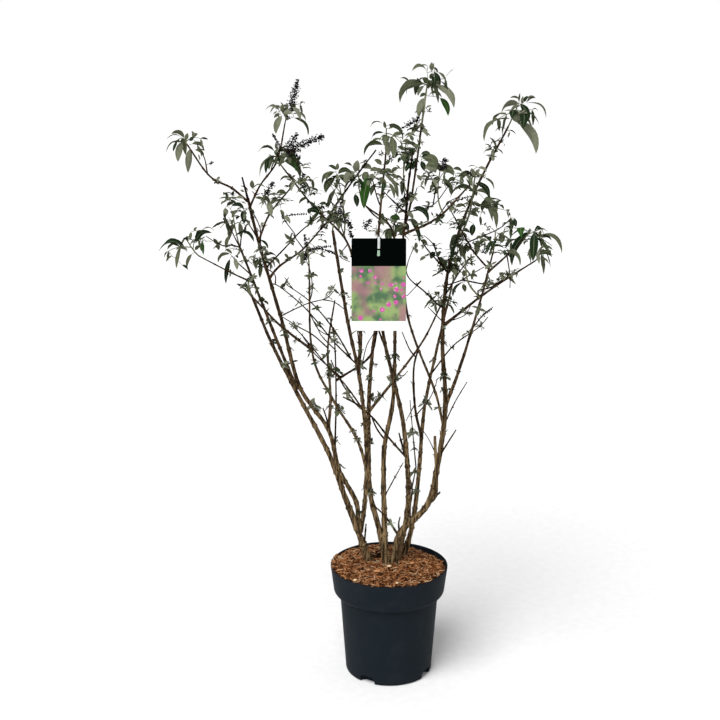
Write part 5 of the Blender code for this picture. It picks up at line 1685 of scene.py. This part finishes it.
    def grow_spray(self, spray: Spray, seed: int) -> None:
        """Adds the leaves of a spray in the order given, each on a twig.

        Args:
            spray: The spray.
            seed: The seed of its chances.
        """
        draw = random.Random(self.spray_seed + seed)
        sight = self.frame.sight
        for u, v, tip_u, tip_v, shown, tone in spray.leaves:
            foot = self.footing(draw, u, v, spray.depth)
            scale = sight.pixel_size(foot)
            across, down = tip_u - u, tip_v - v
            reach = math.hypot(across, down)
            tip = sight.place(tip_u, tip_v, foot.y + reach * scale * draw.uniform(-0.5, 0.3))
            bow = 2 * min(0.36, 0.024 * reach) * abs(across) * math.copysign(1, across) / reach
            depth = (foot.y + tip.y) / 2 - 0.1 * scale * reach
            middle = sight.place((u + tip_u) / 2 + down * bow, (v + tip_v) / 2 - across * bow, depth)
            length = (middle - foot).length + (tip - middle).length
            width = max(shown * scale, 0.23 * length)
            roll = math.acos(min(1.0, shown * scale / width)) * draw.choice((-1, 1))
            self.fine.press(self.leaves[tone], foot, middle, tip, width, roll, draw.uniform(-0.5, 0.5),
                            draw.uniform(-0.35, 0.25), draw.uniform(0.02, 0.10), Vector((0, -1, 0.25)))
            self.count += 1

    def grow_thickets(self) -> None:
        """Fills the places where small leaves crowd together, with opposite pairs on fine twigs."""
        draw = random.Random(self.thicket_seed)
        for u, v, wide, high, depth, pairs, length, tone in THICKETS:
            for _ in range(pairs):
                foot = self.footing(draw, draw.gauss(u, wide / 3), draw.gauss(v, high / 3), depth)
                turn = draw.uniform(0, math.tau)
                side = Vector((math.cos(turn), math.sin(turn), 0))
                size = length * self.frame.sight.pixel_size(foot)
                for out in (side, -side):
                    # Some of these leaves are made OLIVE or DARK, partly painted shade among the crowded
                    # leaves.
                    self.arched(draw, foot, out, UP, size * draw.uniform(0.7, 1.2), draw.uniform(0.4, 1.1),
                                draw.choice((tone, tone, OLIVE, DARK)), 1.15)

    def grow_panicles(self) -> None:
        """Adds the spent flower spikes and knots of florets that show in the photograph."""
        draw = random.Random(self.spike_seed)
        for u, v, tip_u, tip_v, radius, depth in PANICLES:
            foot = self.footing(draw, u, v, depth)
            tip = self.frame.sight.place(tip_u, tip_v, foot.y + draw.uniform(-0.01, 0.01))
            self.spike(draw, foot, tip, radius * self.frame.sight.pixel_size(foot))

    def grow_tufts(self) -> None:
        """Grows the tufts at the nodes of the bare stems."""
        draw = random.Random(self.tuft_seed)
        for u, v, length in TUFTS:
            place = self.frame.wood_near(u, v, 0.0)
            tone = draw.choice((PALE, PALE, GREY, GREY, OLIVE))
            for side in (-1, 1):
                out = Vector((side, draw.uniform(-0.5, 0.5), 0)).normalized()
                self.tuft(draw, place, out, length * draw.uniform(0.8, 1.15), tone)
        for place, across, radius in self.frame.nodes:
            chance = next(chance for top, chance in self.tuft_chances if place.z < top)
            for side in (-1, 1):
                if draw.random() < chance:
                    tone = draw.choice((PALE, GREY, OLIVE))
                    foot = place + across * side * radius * 0.8
                    self.tuft(draw, foot, across * side, draw.uniform(0.012, 0.026), tone)

    def grow(self) -> None:
        """Grows every mass, then the sprays, the spikes and the tufts."""
        traced = {spray.mass for spray in SPRAYS}
        for seed, mass in enumerate(MASSES):
            self.grow_mass(mass, seed, mass.name in traced)
        for seed, spray in enumerate(SPRAYS):
            self.grow_spray(spray, seed)
        self.grow_thickets()
        self.grow_panicles()
        self.grow_tufts()

    def build(self, shoot: bpy.types.Material, dried: bpy.types.Material) -> None:
        """Makes the joined meshes of leaves, twigs and spikes.

        Args:
            shoot: The finish of the twigs.
            dried: The finish of the spikes.
        """
        names = [f"foliage_{mass.name}" for mass in MASSES]
        ride(self.twigs.build("leafy_twigs", [shoot]), "felted_leaf", *names)
        ride(self.spikes.build("spent_flower_spikes", [dried]), "felted_leaf", *names)
        LOG.info("twigs %d, spikes %d triangles", self.twigs.triangle_count, self.spikes.triangle_count)
        for tone, cluster in self.leaves.items():
            label = tone.name.lower()
            upper = Felt(f"leaf_{label}", tone.value).make()
            under = Felt(f"leaf_{label}_underside", tone.under, 0.12).make()
            rib = Felt(f"leaf_{label}_midrib", tone.rib, 0.08).make()
            ride(cluster.build(f"leaves_{label}", [upper, under, rib]), "felted_leaf", *names)
            LOG.info("leaves_%s: %d triangles", label, cluster.triangle_count)
        LOG.info("%d leaves", self.count)


@dataclass
class NurseryPot:
    """A round moulded pot: a deep skirt that curls under to a tapering body, with notches at its foot."""

    height: float = 0.3057
    rim_radius: float = 0.1600
    skirt_radius: float = 0.1520
    skirt_drop: float = 0.0655
    undercut: float = 0.0155
    body_radius: float = 0.1345
    foot_radius: float = 0.1190
    wall: float = 0.0030
    floor_top: float = 0.0240
    notch_size: tuple[float, float, float] = (0.046, 0.045, 0.044)
    notch_depth: float = 0.020
    notch_round: float = 0.013
    notches: int = 4
    first_notch: float = math.radians(-121)
    sides: int = 180

    @property
    def skirt_foot(self) -> float:
        """The height at which the skirt ends."""
        return self.height - self.skirt_drop

    def profile(self) -> list[tuple[float, float]]:
        """The turned outline, from the inside of the floor over the rim to the underside.

        Returns:
            The radius and the height at each of its points.
        """
        lip = self.skirt_foot - self.undercut
        shoulder = self.skirt_radius - self.body_radius
        inside = [
            (0.0, self.floor_top), (self.foot_radius - self.wall, self.floor_top),
            (self.body_radius - self.wall, lip), (self.skirt_radius - self.wall, self.skirt_foot),
            (self.rim_radius - self.wall, self.height - 0.002),
        ]
        half, crest = self.wall / 2, 0.0015
        bead = [(self.rim_radius - half + half * math.cos(turn), self.height - crest + crest * math.sin(turn))
                for turn in np.linspace(math.pi, 0, 7)]
        flare, drop = self.rim_radius - self.skirt_radius, self.skirt_drop - 0.003
        skirt = [(self.skirt_radius + flare * share, self.skirt_foot + drop * share)
                 for share in (1.0, 0.5, 0.08, 0.0)]
        curl = [(self.body_radius + shoulder * math.cos(turn),
                 self.skirt_foot - self.undercut * math.sin(turn))
                for turn in np.linspace(0.2, math.pi / 2, 8)]
        taper = self.foot_radius - self.body_radius
        body = [(self.body_radius + taper * share, lip + (0.012 - lip) * share)
                for share in (0.03, 0.35, 0.7, 1.0)]
        foot = [(self.foot_radius - 0.007 * (1 - math.cos(turn)), 0.009 * (1 - math.sin(turn)))
                for turn in np.linspace(0.2, math.pi / 2, 6)]
        return inside + bead + skirt + curl + body + foot + [(self.foot_radius - 0.015, 0.0), (0.0, 0.0)]

    def build(self, material: bpy.types.Material) -> bpy.types.Object:
        """Makes the pot and cuts its notches.

        Args:
            material: The finish.

        Returns:
            The pot.
        """
        mesh = bpy.data.meshes.new("nursery_pot")
        outline = [(radius, 0.0, height) for radius, height in self.profile()]
        mesh.from_pydata(outline, [(i, i + 1) for i in range(len(outline) - 1)], [])
        pot = bpy.data.objects.new("nursery_pot", mesh)
        bpy.context.scene.collection.objects.link(pot)
        screw = pot.modifiers.new("Turned", "SCREW")
        screw.steps = screw.render_steps = self.sides
        screw.use_merge_vertices = True
        screw.merge_threshold = 0.00001
        cutters = [self._cut_notch(pot, index) for index in range(self.notches)]
        bpy.context.view_layer.update()
        graph = bpy.context.evaluated_depsgraph_get()
        solid = bpy.data.meshes.new_from_object(pot.evaluated_get(graph), depsgraph=graph)
        pot.modifiers.clear()
        pot.data = solid
        for cutter in cutters:
            bpy.data.objects.remove(cutter)
        solid.materials.clear()
        solid.materials.append(material)
        solid.shade_smooth()
        solid.set_sharp_from_angle(angle=math.radians(38))
        return ride(pot, "pot_plastic", "pot")

    def _cut_notch(self, pot: bpy.types.Object, index: int) -> bpy.types.Object:
        """Adds the cut of one notch.

        Args:
            pot: The pot.
            index: The number of the notch.

        Returns:
            The cutter, to be removed after the cut.
        """
        turn = self.first_notch + index * math.tau / self.notches
        out = self.foot_radius - self.notch_depth + self.notch_size[0] / 2
        bpy.ops.mesh.primitive_cube_add(size=1)
        cutter = bpy.context.object
        cutter.data.transform(Matrix.Diagonal((*self.notch_size, 1)))
        cutter.location = (math.cos(turn) * out, math.sin(turn) * out, 0.0)
        cutter.rotation_euler = (0, 0, turn)
        rounded = cutter.modifiers.new("Rounded", "BEVEL")
        rounded.width = self.notch_round
        rounded.segments = 5
        cutter.hide_render = True
        cut = pot.modifiers.new(f"Notch {index}", "BOOLEAN")
        cut.operation = "DIFFERENCE"
        cut.object = cutter
        return cutter


@dataclass
class GrowingMix:
    """The fill of the pot: a lumpy surface, heaped to the rim at the front and lower at the back right.

    It lies under loose shreds. Tones and chips go by number: a chip has its pixel, its length in metres and
    the number of its tone.
    """

    pot: NurseryPot
    sight: Sight
    rings: int = 46
    spokes: int = 150
    crown: float = 0.004
    low_turn: float = math.radians(38)
    low_drop: float = 0.013
    hollow: tuple[float, float] = (-0.030, 0.058)
    hollow_radius: float = 0.021
    shreds: int = 8000
    seed: int = 11
    front_turn: float = math.radians(125)
    layer_foot: float = -0.0006
    layer_depth: float = 0.0042
    chip_rise: float = 0.0075
    shred_lengths: tuple[float, ...] = (0.008, 0.012, 0.016, 0.021)
    # Lit tones lie more on top and the others lower down: painted light on the top shreds and painted shade
    # under them.
    lit_tones: tuple[int, ...] = (0, 2, 4)
    coarse_tones: tuple[int, ...] = (2, 4)
    # Tones 2 and 4 are partly the fibres' own pale tan and partly painted highlights; tone 3, near black, is
    # painted shade in the gaps between the shreds.
    tones: tuple[Colour, ...] = (
        (0.300, 0.094, 0.026), (0.125, 0.037, 0.011), (0.660, 0.310, 0.130),
        (0.026, 0.009, 0.005), (0.920, 0.680, 0.420), (0.230, 0.105, 0.040))
    shares: tuple[float, ...] = (0.28, 0.18, 0.20, 0.20, 0.05, 0.09)
    # The near-black bed is painted shade in the gaps between the shreds.
    bed: Colour = (0.018, 0.007, 0.004)
    chips: tuple[tuple[float, float, float, int], ...] = (
        (389, 566, 0.014, 4), (377, 571, 0.016, 2), (355, 580, 0.010, 4), (412, 563, 0.011, 2),
        (362, 560, 0.010, 5), (421, 575, 0.009, 2), (397, 583, 0.008, 4), (345, 569, 0.009, 2))

    def wall_radius(self, height: float) -> float:
        """The inner radius of the pot's skirt at a height."""
        share = (height - self.pot.skirt_foot) / self.pot.skirt_drop
        return self.pot.skirt_radius + (self.pot.rim_radius - self.pot.skirt_radius) * share - self.pot.wall

    def level(self, x: float, y: float) -> float:
        """The height of the surface at a place.

        Args:
            x: Metres to the right of the pot's middle.
            y: Metres behind it.

        Returns:
            The height, in metres.
        """
        radius = math.hypot(x, y) / self.pot.rim_radius
        turn = math.atan2(y, x) - self.low_turn
        low = max(0.0, math.cos(turn)) ** 1.5 * radius**3
        back = min(1.0, max(0.0, 0.3 + 1.6 * y / self.pot.rim_radius))
        heap = max(0.0, math.cos(turn + self.low_turn + self.front_turn)) * radius**2
        lumps = 0.0011 * (math.sin(61 * x + 5 * math.sin(47 * y)) + math.sin(83 * y + 4 * math.cos(57 * x)))
        lumps += 0.0006 * math.sin(190 * x + 170 * y)
        pit = math.exp(-((x - self.hollow[0]) ** 2 + (y - self.hollow[1]) ** 2) / self.hollow_radius**2)
        edge = 0.0008 * radius**6 + 0.0022 * heap - 0.0085 * back * radius**8
        dome = self.pot.height - 0.0020 + self.crown * (1 - radius**2)
        return dome + lumps + edge - self.low_drop * low - 0.020 * pit

    def build(self) -> None:
        """Makes the surface and the shreds that lie on it."""
        base = Cluster()
        rim = self.pot.rim_radius - self.pot.wall - 0.0004
        points = [(0.0, 0.0, self.level(0.0, 0.0))]
        for ring in range(1, self.rings + 1):
            for spoke in range(self.spokes):
                turn = spoke * math.tau / self.spokes
                radius = rim * (ring / self.rings) ** 0.8
                x, y = radius * math.cos(turn), radius * math.sin(turn)
                z = self.level(x, y)
                if ring == self.rings:
                    near = min(1.0, (self.wall_radius(z) - 0.0004) / rim)
                    x, y = x * near, y * near
                points.append((x, y, z))
        under = self.pot.height - 0.040
        floor = self.wall_radius(under) - 0.0006
        for spoke in range(self.spokes):
            turn = spoke * math.tau / self.spokes
            points.append((floor * math.cos(turn), floor * math.sin(turn), under))
        points.append((0.0, 0.0, under))
        ring, spoke = np.meshgrid(np.arange(self.rings), np.arange(self.spokes), indexing="ij")
        after = (spoke + 1) % self.spokes
        row, outer = 1 + ring * self.spokes, 1 + (ring + 1) * self.spokes
        quads = np.stack([row + spoke, outer + spoke, outer + after, row + after], axis=-1).reshape(-1, 4)
        spoke = np.arange(self.spokes)
        after = (spoke + 1) % self.spokes
        last = 1 + self.rings * self.spokes
        top = np.stack([np.zeros_like(spoke), 1 + spoke, 1 + after], axis=1)
        bottom = np.stack([np.full_like(spoke, last + self.spokes), last + after, last + spoke], axis=1)
        base.add(np.array(points), quads, np.concatenate([top, bottom]))
        # The bed is painted shade under the shreds.
        shaded_bed = Shreds("bark_bed", self.bed).make()
        ride(base.build("bark_bed", [shaded_bed], 80.0), "shredded_bark", "growing_mix")
        self._scatter()

    def _scatter(self) -> None:
        """Strews the shreds, dealt out in tones."""
        draw = random.Random(self.seed)
        cluster = Cluster()
        rim = self.pot.rim_radius
        for _ in range(self.shreds):
            radius = (rim - 0.0005) * math.sqrt(draw.random())
            turn = draw.uniform(0, math.tau)
            x, y = radius * math.cos(turn), radius * math.sin(turn)
            length = draw.choice(self.shred_lengths) * draw.uniform(0.7, 1.25)
            heading = draw.uniform(0, math.tau)
            tilt = draw.gauss(0, 0.32)
            reach = math.cos(tilt)
            aim = Vector((math.cos(heading) * reach, math.sin(heading) * reach, math.sin(tilt)))
            layer = draw.random()
            over = math.cos(turn + self.front_turn) > 0.2
            middle = Vector((x, y, self.level(x, y) + self.layer_foot + self.layer_depth * layer))
            if over and radius > rim - 0.008:
                middle.z = self.pot.height + 0.0010 + 0.0022 * layer
            if math.hypot(x - self.hollow[0], y - self.hollow[1]) < self.hollow_radius * (0.7 + 0.5 * layer):
                continue
            ends = [middle - aim * length / 2, middle + aim * length / 2]
            spare = 0.0050 if over and middle.z > self.pot.height + 0.0005 else -0.001
            if any(math.hypot(end.x, end.y) > self.wall_radius(min(end.z, self.pot.height)) + spare
                   for end in ends):
                continue
            bow = middle + UP * draw.uniform(0.0, 0.0022) + aim.cross(UP) * draw.uniform(-0.25, 0.25) * length
            # Lit tones are dealt out more on top and the darker ones lower down: painted light on the top
            # shreds and painted shade under them.
            weights = [share * (1.6 * layer + 0.2 if tone in self.lit_tones else 1.8 - 1.6 * layer)
                       for tone, share in enumerate(self.shares)]
            tone = draw.choices(range(len(self.tones)), weights)[0]
            thick = draw.uniform(0.0003, 0.0006) * (1.7 if tone in self.coarse_tones else 1.0)
            radii = thick * np.array([0.5, 1.0, 0.9, 0.35])
            cluster.add(*tube(arc(ends[0], bow, ends[1], 3), radii, 3), (tone, tone))
        for u, v, length, tone in self.chips:
            seen = self.sight.place(u, v, 0.0)
            for _ in range(4):
                seen = self.sight.at_height(u, v, self.level(seen.x, seen.y) + self.chip_rise)
            aim = Vector((draw.uniform(-1, 1), draw.uniform(-0.7, 0.7), draw.uniform(0.0, 0.3))).normalized()
            flat = np.array([[1.0, 0.16, 1.0, 0.16]] * 4)
            radii = length * 0.21 * np.array([0.5, 1.0, 0.95, 0.4])
            foot = seen - aim * length / 2
            path = arc(foot, seen + UP * 0.001, foot + aim * length, 3)
            cluster.add(*tube(path, radii, 4, flat), (tone, tone))
        materials = [Shreds(f"bark_shreds_{number}", tone).make() for number, tone in enumerate(self.tones)]
        ride(cluster.build("bark_shreds", materials, 35.0), "shredded_bark")


@dataclass
class HangTag:
    """A plain card with a dark head, a soft generic print and a bare foot, hung on a strap round its stem."""

    frame: Framework
    width: float = 0.127
    height: float = 0.215
    thickness: float = 0.0010
    top: Place = (-0.0360, -0.2950, 1.2370)
    lean: float = math.radians(6)
    corner: float = 0.0025
    head_share: float = 0.30
    foot_share: float = 0.105
    slot_drop: float = 0.0240
    strap: float = 0.0012
    rise: float = 0.0100
    spread: float = 0.0088

    @property
    def down(self) -> Vector:
        """The way down the card."""
        return Vector((0, -math.sin(self.lean), -math.cos(self.lean)))

    @property
    def forward(self) -> Vector:
        """The way that the card faces."""
        return Vector((0, -math.cos(self.lean), math.sin(self.lean)))

    def build(self) -> None:
        """Makes the card and its strap."""
        self._build_card()
        self._build_strap()

    def _build_card(self) -> None:
        """The card: bands of finish between level lines, on a thin slab with round corners."""
        rounded = self.corner / self.height
        cuts = [0.0, rounded, self.head_share, 1 - self.foot_share, 1 - rounded, 1.0]
        slots = [0, 0, 1, 2, 2]
        insets = [self.corner, 0.0, 0.0, 0.0, 0.0, self.corner]
        points = []
        for side in (1, -1):
            for cut, inset in zip(cuts, insets):
                for edge in (-1, 1):
                    off = self.forward * (side * self.thickness / 2)
                    place = Vector(self.top) + self.down * (cut * self.height) + off
                    points.append(place + Vector((edge * (self.width / 2 - inset), 0, 0)))
        rows = len(cuts)
        quads, numbers = [], []
        for row in range(rows - 1):
            a, b = 2 * row, 2 * row + 2
            back = 2 * rows
            quads += [(a, b, b + 1, a + 1), (back + a, back + a + 1, back + b + 1, back + b),
                      (a, back + a, back + b, b), (a + 1, b + 1, back + b + 1, back + a + 1)]
            numbers += [slots[row], 2, 2, 2]
        end = 2 * rows - 2
        quads += [(0, 1, 2 * rows + 1, 2 * rows), (end, 2 * rows + end, 2 * rows + end + 1, end + 1)]
        numbers += [2, 2]
        card = Cluster()
        card.add(np.array(points), np.array(quads), np.zeros((0, 3)), (np.array(numbers), 0))
        head = SatinPlastic("tag_head", (0.0008, 0.0020, 0.0015), 0.60, 0.0).make()
        blank = SatinPlastic("tag_blank", (0.80, 0.81, 0.79), 0.40).make()
        ride(card.build("tag_card", [head, GardenPrint().make(), blank], 30.0), "tag_card", "hang_tag")

    def _build_strap(self) -> None:
        """The strap: a ring round the stem whose tail goes down to the card's hole."""
        run = self.frame.runs["stem_tall_front"]
        level = self.top[2] + self.rise
        index = int(np.searchsorted(run.places[:, 2], level))
        stem, thick = Vector(run.places[index]), float(run.radii[index])
        hole = Vector(self.top) + self.down * self.slot_drop
        off = self.thickness / 2 + self.strap * 1.3
        behind = stem.y + thick + self.strap * 1.2
        front = stem.y - thick - self.strap * 1.2
        ring = [
            (stem.x, behind, level),
            (stem.x + self.spread * 0.8, behind - 0.003, level + 0.004),
            (stem.x + self.spread, front - 0.001, level - 0.001),
            (stem.x + self.spread * 0.6, front - 0.003, level - 0.008),
            (stem.x, front - 0.003, level - 0.010),
            (stem.x - self.spread * 0.7, front - 0.003, level - 0.007),
            (stem.x - self.spread, front, level + 0.002),
            (stem.x - self.spread * 0.6, behind - 0.003, level + 0.008),
            (stem.x, behind, level + 0.006),
        ]
        tail = [Vector(ring[4]), Vector((stem.x, front - 0.004, level - 0.014)),
                Vector(self.top) + self.forward * off, hole + self.forward * off - self.down * 0.006,
                hole + self.forward * off]
        strap = Cluster()
        strap.add(*self._band(ring, (1.4, 1.1, 0.7, 1.1)))
        strap.add(*self._band(tail, (2.6, 1.6, 0.5, 1.6)))
        tab = hole + self.forward * (off + 0.0004) + self.down * 0.004
        strap.add(*tube(arc(tab, tab + self.down * 0.0065, tab + self.down * 0.013, 2), np.full(3, 0.0052), 4,
                        np.tile([1.0, 0.22, 1.0, 0.22], (3, 1))), (1, 1))
        white = SatinPlastic("tag_strap", (0.60, 0.62, 0.62)).make()
        tint = SatinPlastic("tag_tab", (0.42, 0.62, 0.46)).make()
        ride(strap.build("tag_strap", [white, tint], 40.0), "tag_strap", "tag_loop")

    def _band(self, points: Sequence[Sequence[float]], section: Sequence[float]) -> tuple:
        """A flat band along a smooth run.

        Args:
            points: The places that it passes.
            section: Factors on its radius over half a turn.

        Returns:
            The points, the quads and the triangles.
        """
        places = smooth_run(points, 0.002)
        relief = np.tile(section, (len(places), 2))
        return tube(places, np.full(len(places), self.strap), 2 * len(section), relief)


@dataclass
class Studio:
    """The plain pale floor and soft studio light."""

    sight: Sight
    floor_radius: float = 60.0
    floor_paint: Colour = (0.93, 0.93, 0.93)
    sky_band: tuple[float, float] = (0.10, 0.60)
    skies: tuple[float, float] = (1.0, 0.34)
    sun_place: Place = (-1.4, -2.4, 3.6)
    sun_spread: float = math.radians(40)
    sun_power: float = 3.1

    def build(self) -> None:
        """Makes the floor, the lights and the camera."""
        bpy.ops.mesh.primitive_circle_add(vertices=96, radius=self.floor_radius, fill_type="NGON")
        floor = bpy.context.object
        floor.name = "floor"
        floor.data.materials.append(SatinPlastic("floor_paint", self.floor_paint, 0.9, 0.0).make())
        world = bpy.data.worlds.new("studio")
        world.use_nodes = True
        nodes, links = world.node_tree.nodes, world.node_tree.links
        kinds = ("TexCoord", "SeparateXYZ", "MapRange")
        way, parts, fade = (nodes.new(f"ShaderNode{kind}") for kind in kinds)
        for number, value in enumerate((*self.sky_band, *self.skies), start=1):
            fade.inputs[number].default_value = value
        links.new(way.outputs["Generated"], parts.inputs[0])
        links.new(parts.outputs["Z"], fade.inputs[0])
        links.new(fade.outputs[0], nodes["Background"].inputs[1])
        nodes["Background"].inputs[0].default_value = (1.0, 1.0, 1.0, 1.0)
        bpy.context.scene.world = world
        self._add_sun()
        bpy.context.scene.view_settings.view_transform = "Standard"
        self.sight.make()

    def _add_sun(self) -> None:
        """Adds the even soft light that comes from the front left, high up."""
        light = bpy.data.lights.new("key", "SUN")
        light.angle = self.sun_spread
        light.energy = self.sun_power
        sun = bpy.data.objects.new("key", light)
        sun.location = self.sun_place
        sun.rotation_euler = (-Vector(self.sun_place)).to_track_quat("-Z", "Y").to_euler()
        bpy.context.scene.collection.objects.link(sun)


def main() -> None:
    """Builds the pot, the mix, the wood, the foliage and the tag, in that order."""
    logging.basicConfig(level=logging.INFO, format="%(name)s: %(message)s")
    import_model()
    sight = Sight()
    Studio(sight).build()
    pot = NurseryPot()
    pot.build(MouldedPlastic().make())
    GrowingMix(pot, sight).build()
    frame = Framework(sight)
    frame.lay_out()
    bark = Bark("bark", low=(0.205, 0.140, 0.070), low_fissure=(0.024, 0.015, 0.008),
                high=(0.058, 0.034, 0.018), high_fissure=(0.011, 0.006, 0.004))
    thin = Bark("thin_bark", low=(0.056, 0.034, 0.017), low_fissure=(0.014, 0.008, 0.004),
                high=(0.027, 0.0135, 0.008), high_fissure=(0.006, 0.003, 0.002))
    shoot = Felt("shoot_felt", (0.120, 0.124, 0.068)).make()
    frame.build(bark.make(), thin.make(), shoot)
    foliage = Foliage(frame)
    foliage.grow()
    foliage.build(shoot, Felt("dried_floret", (0.012, 0.008, 0.010), 0.5, 0.92).make())
    HangTag(frame).build()
    bpy.context.view_layer.update()


if __name__ == "__main__":
    main()
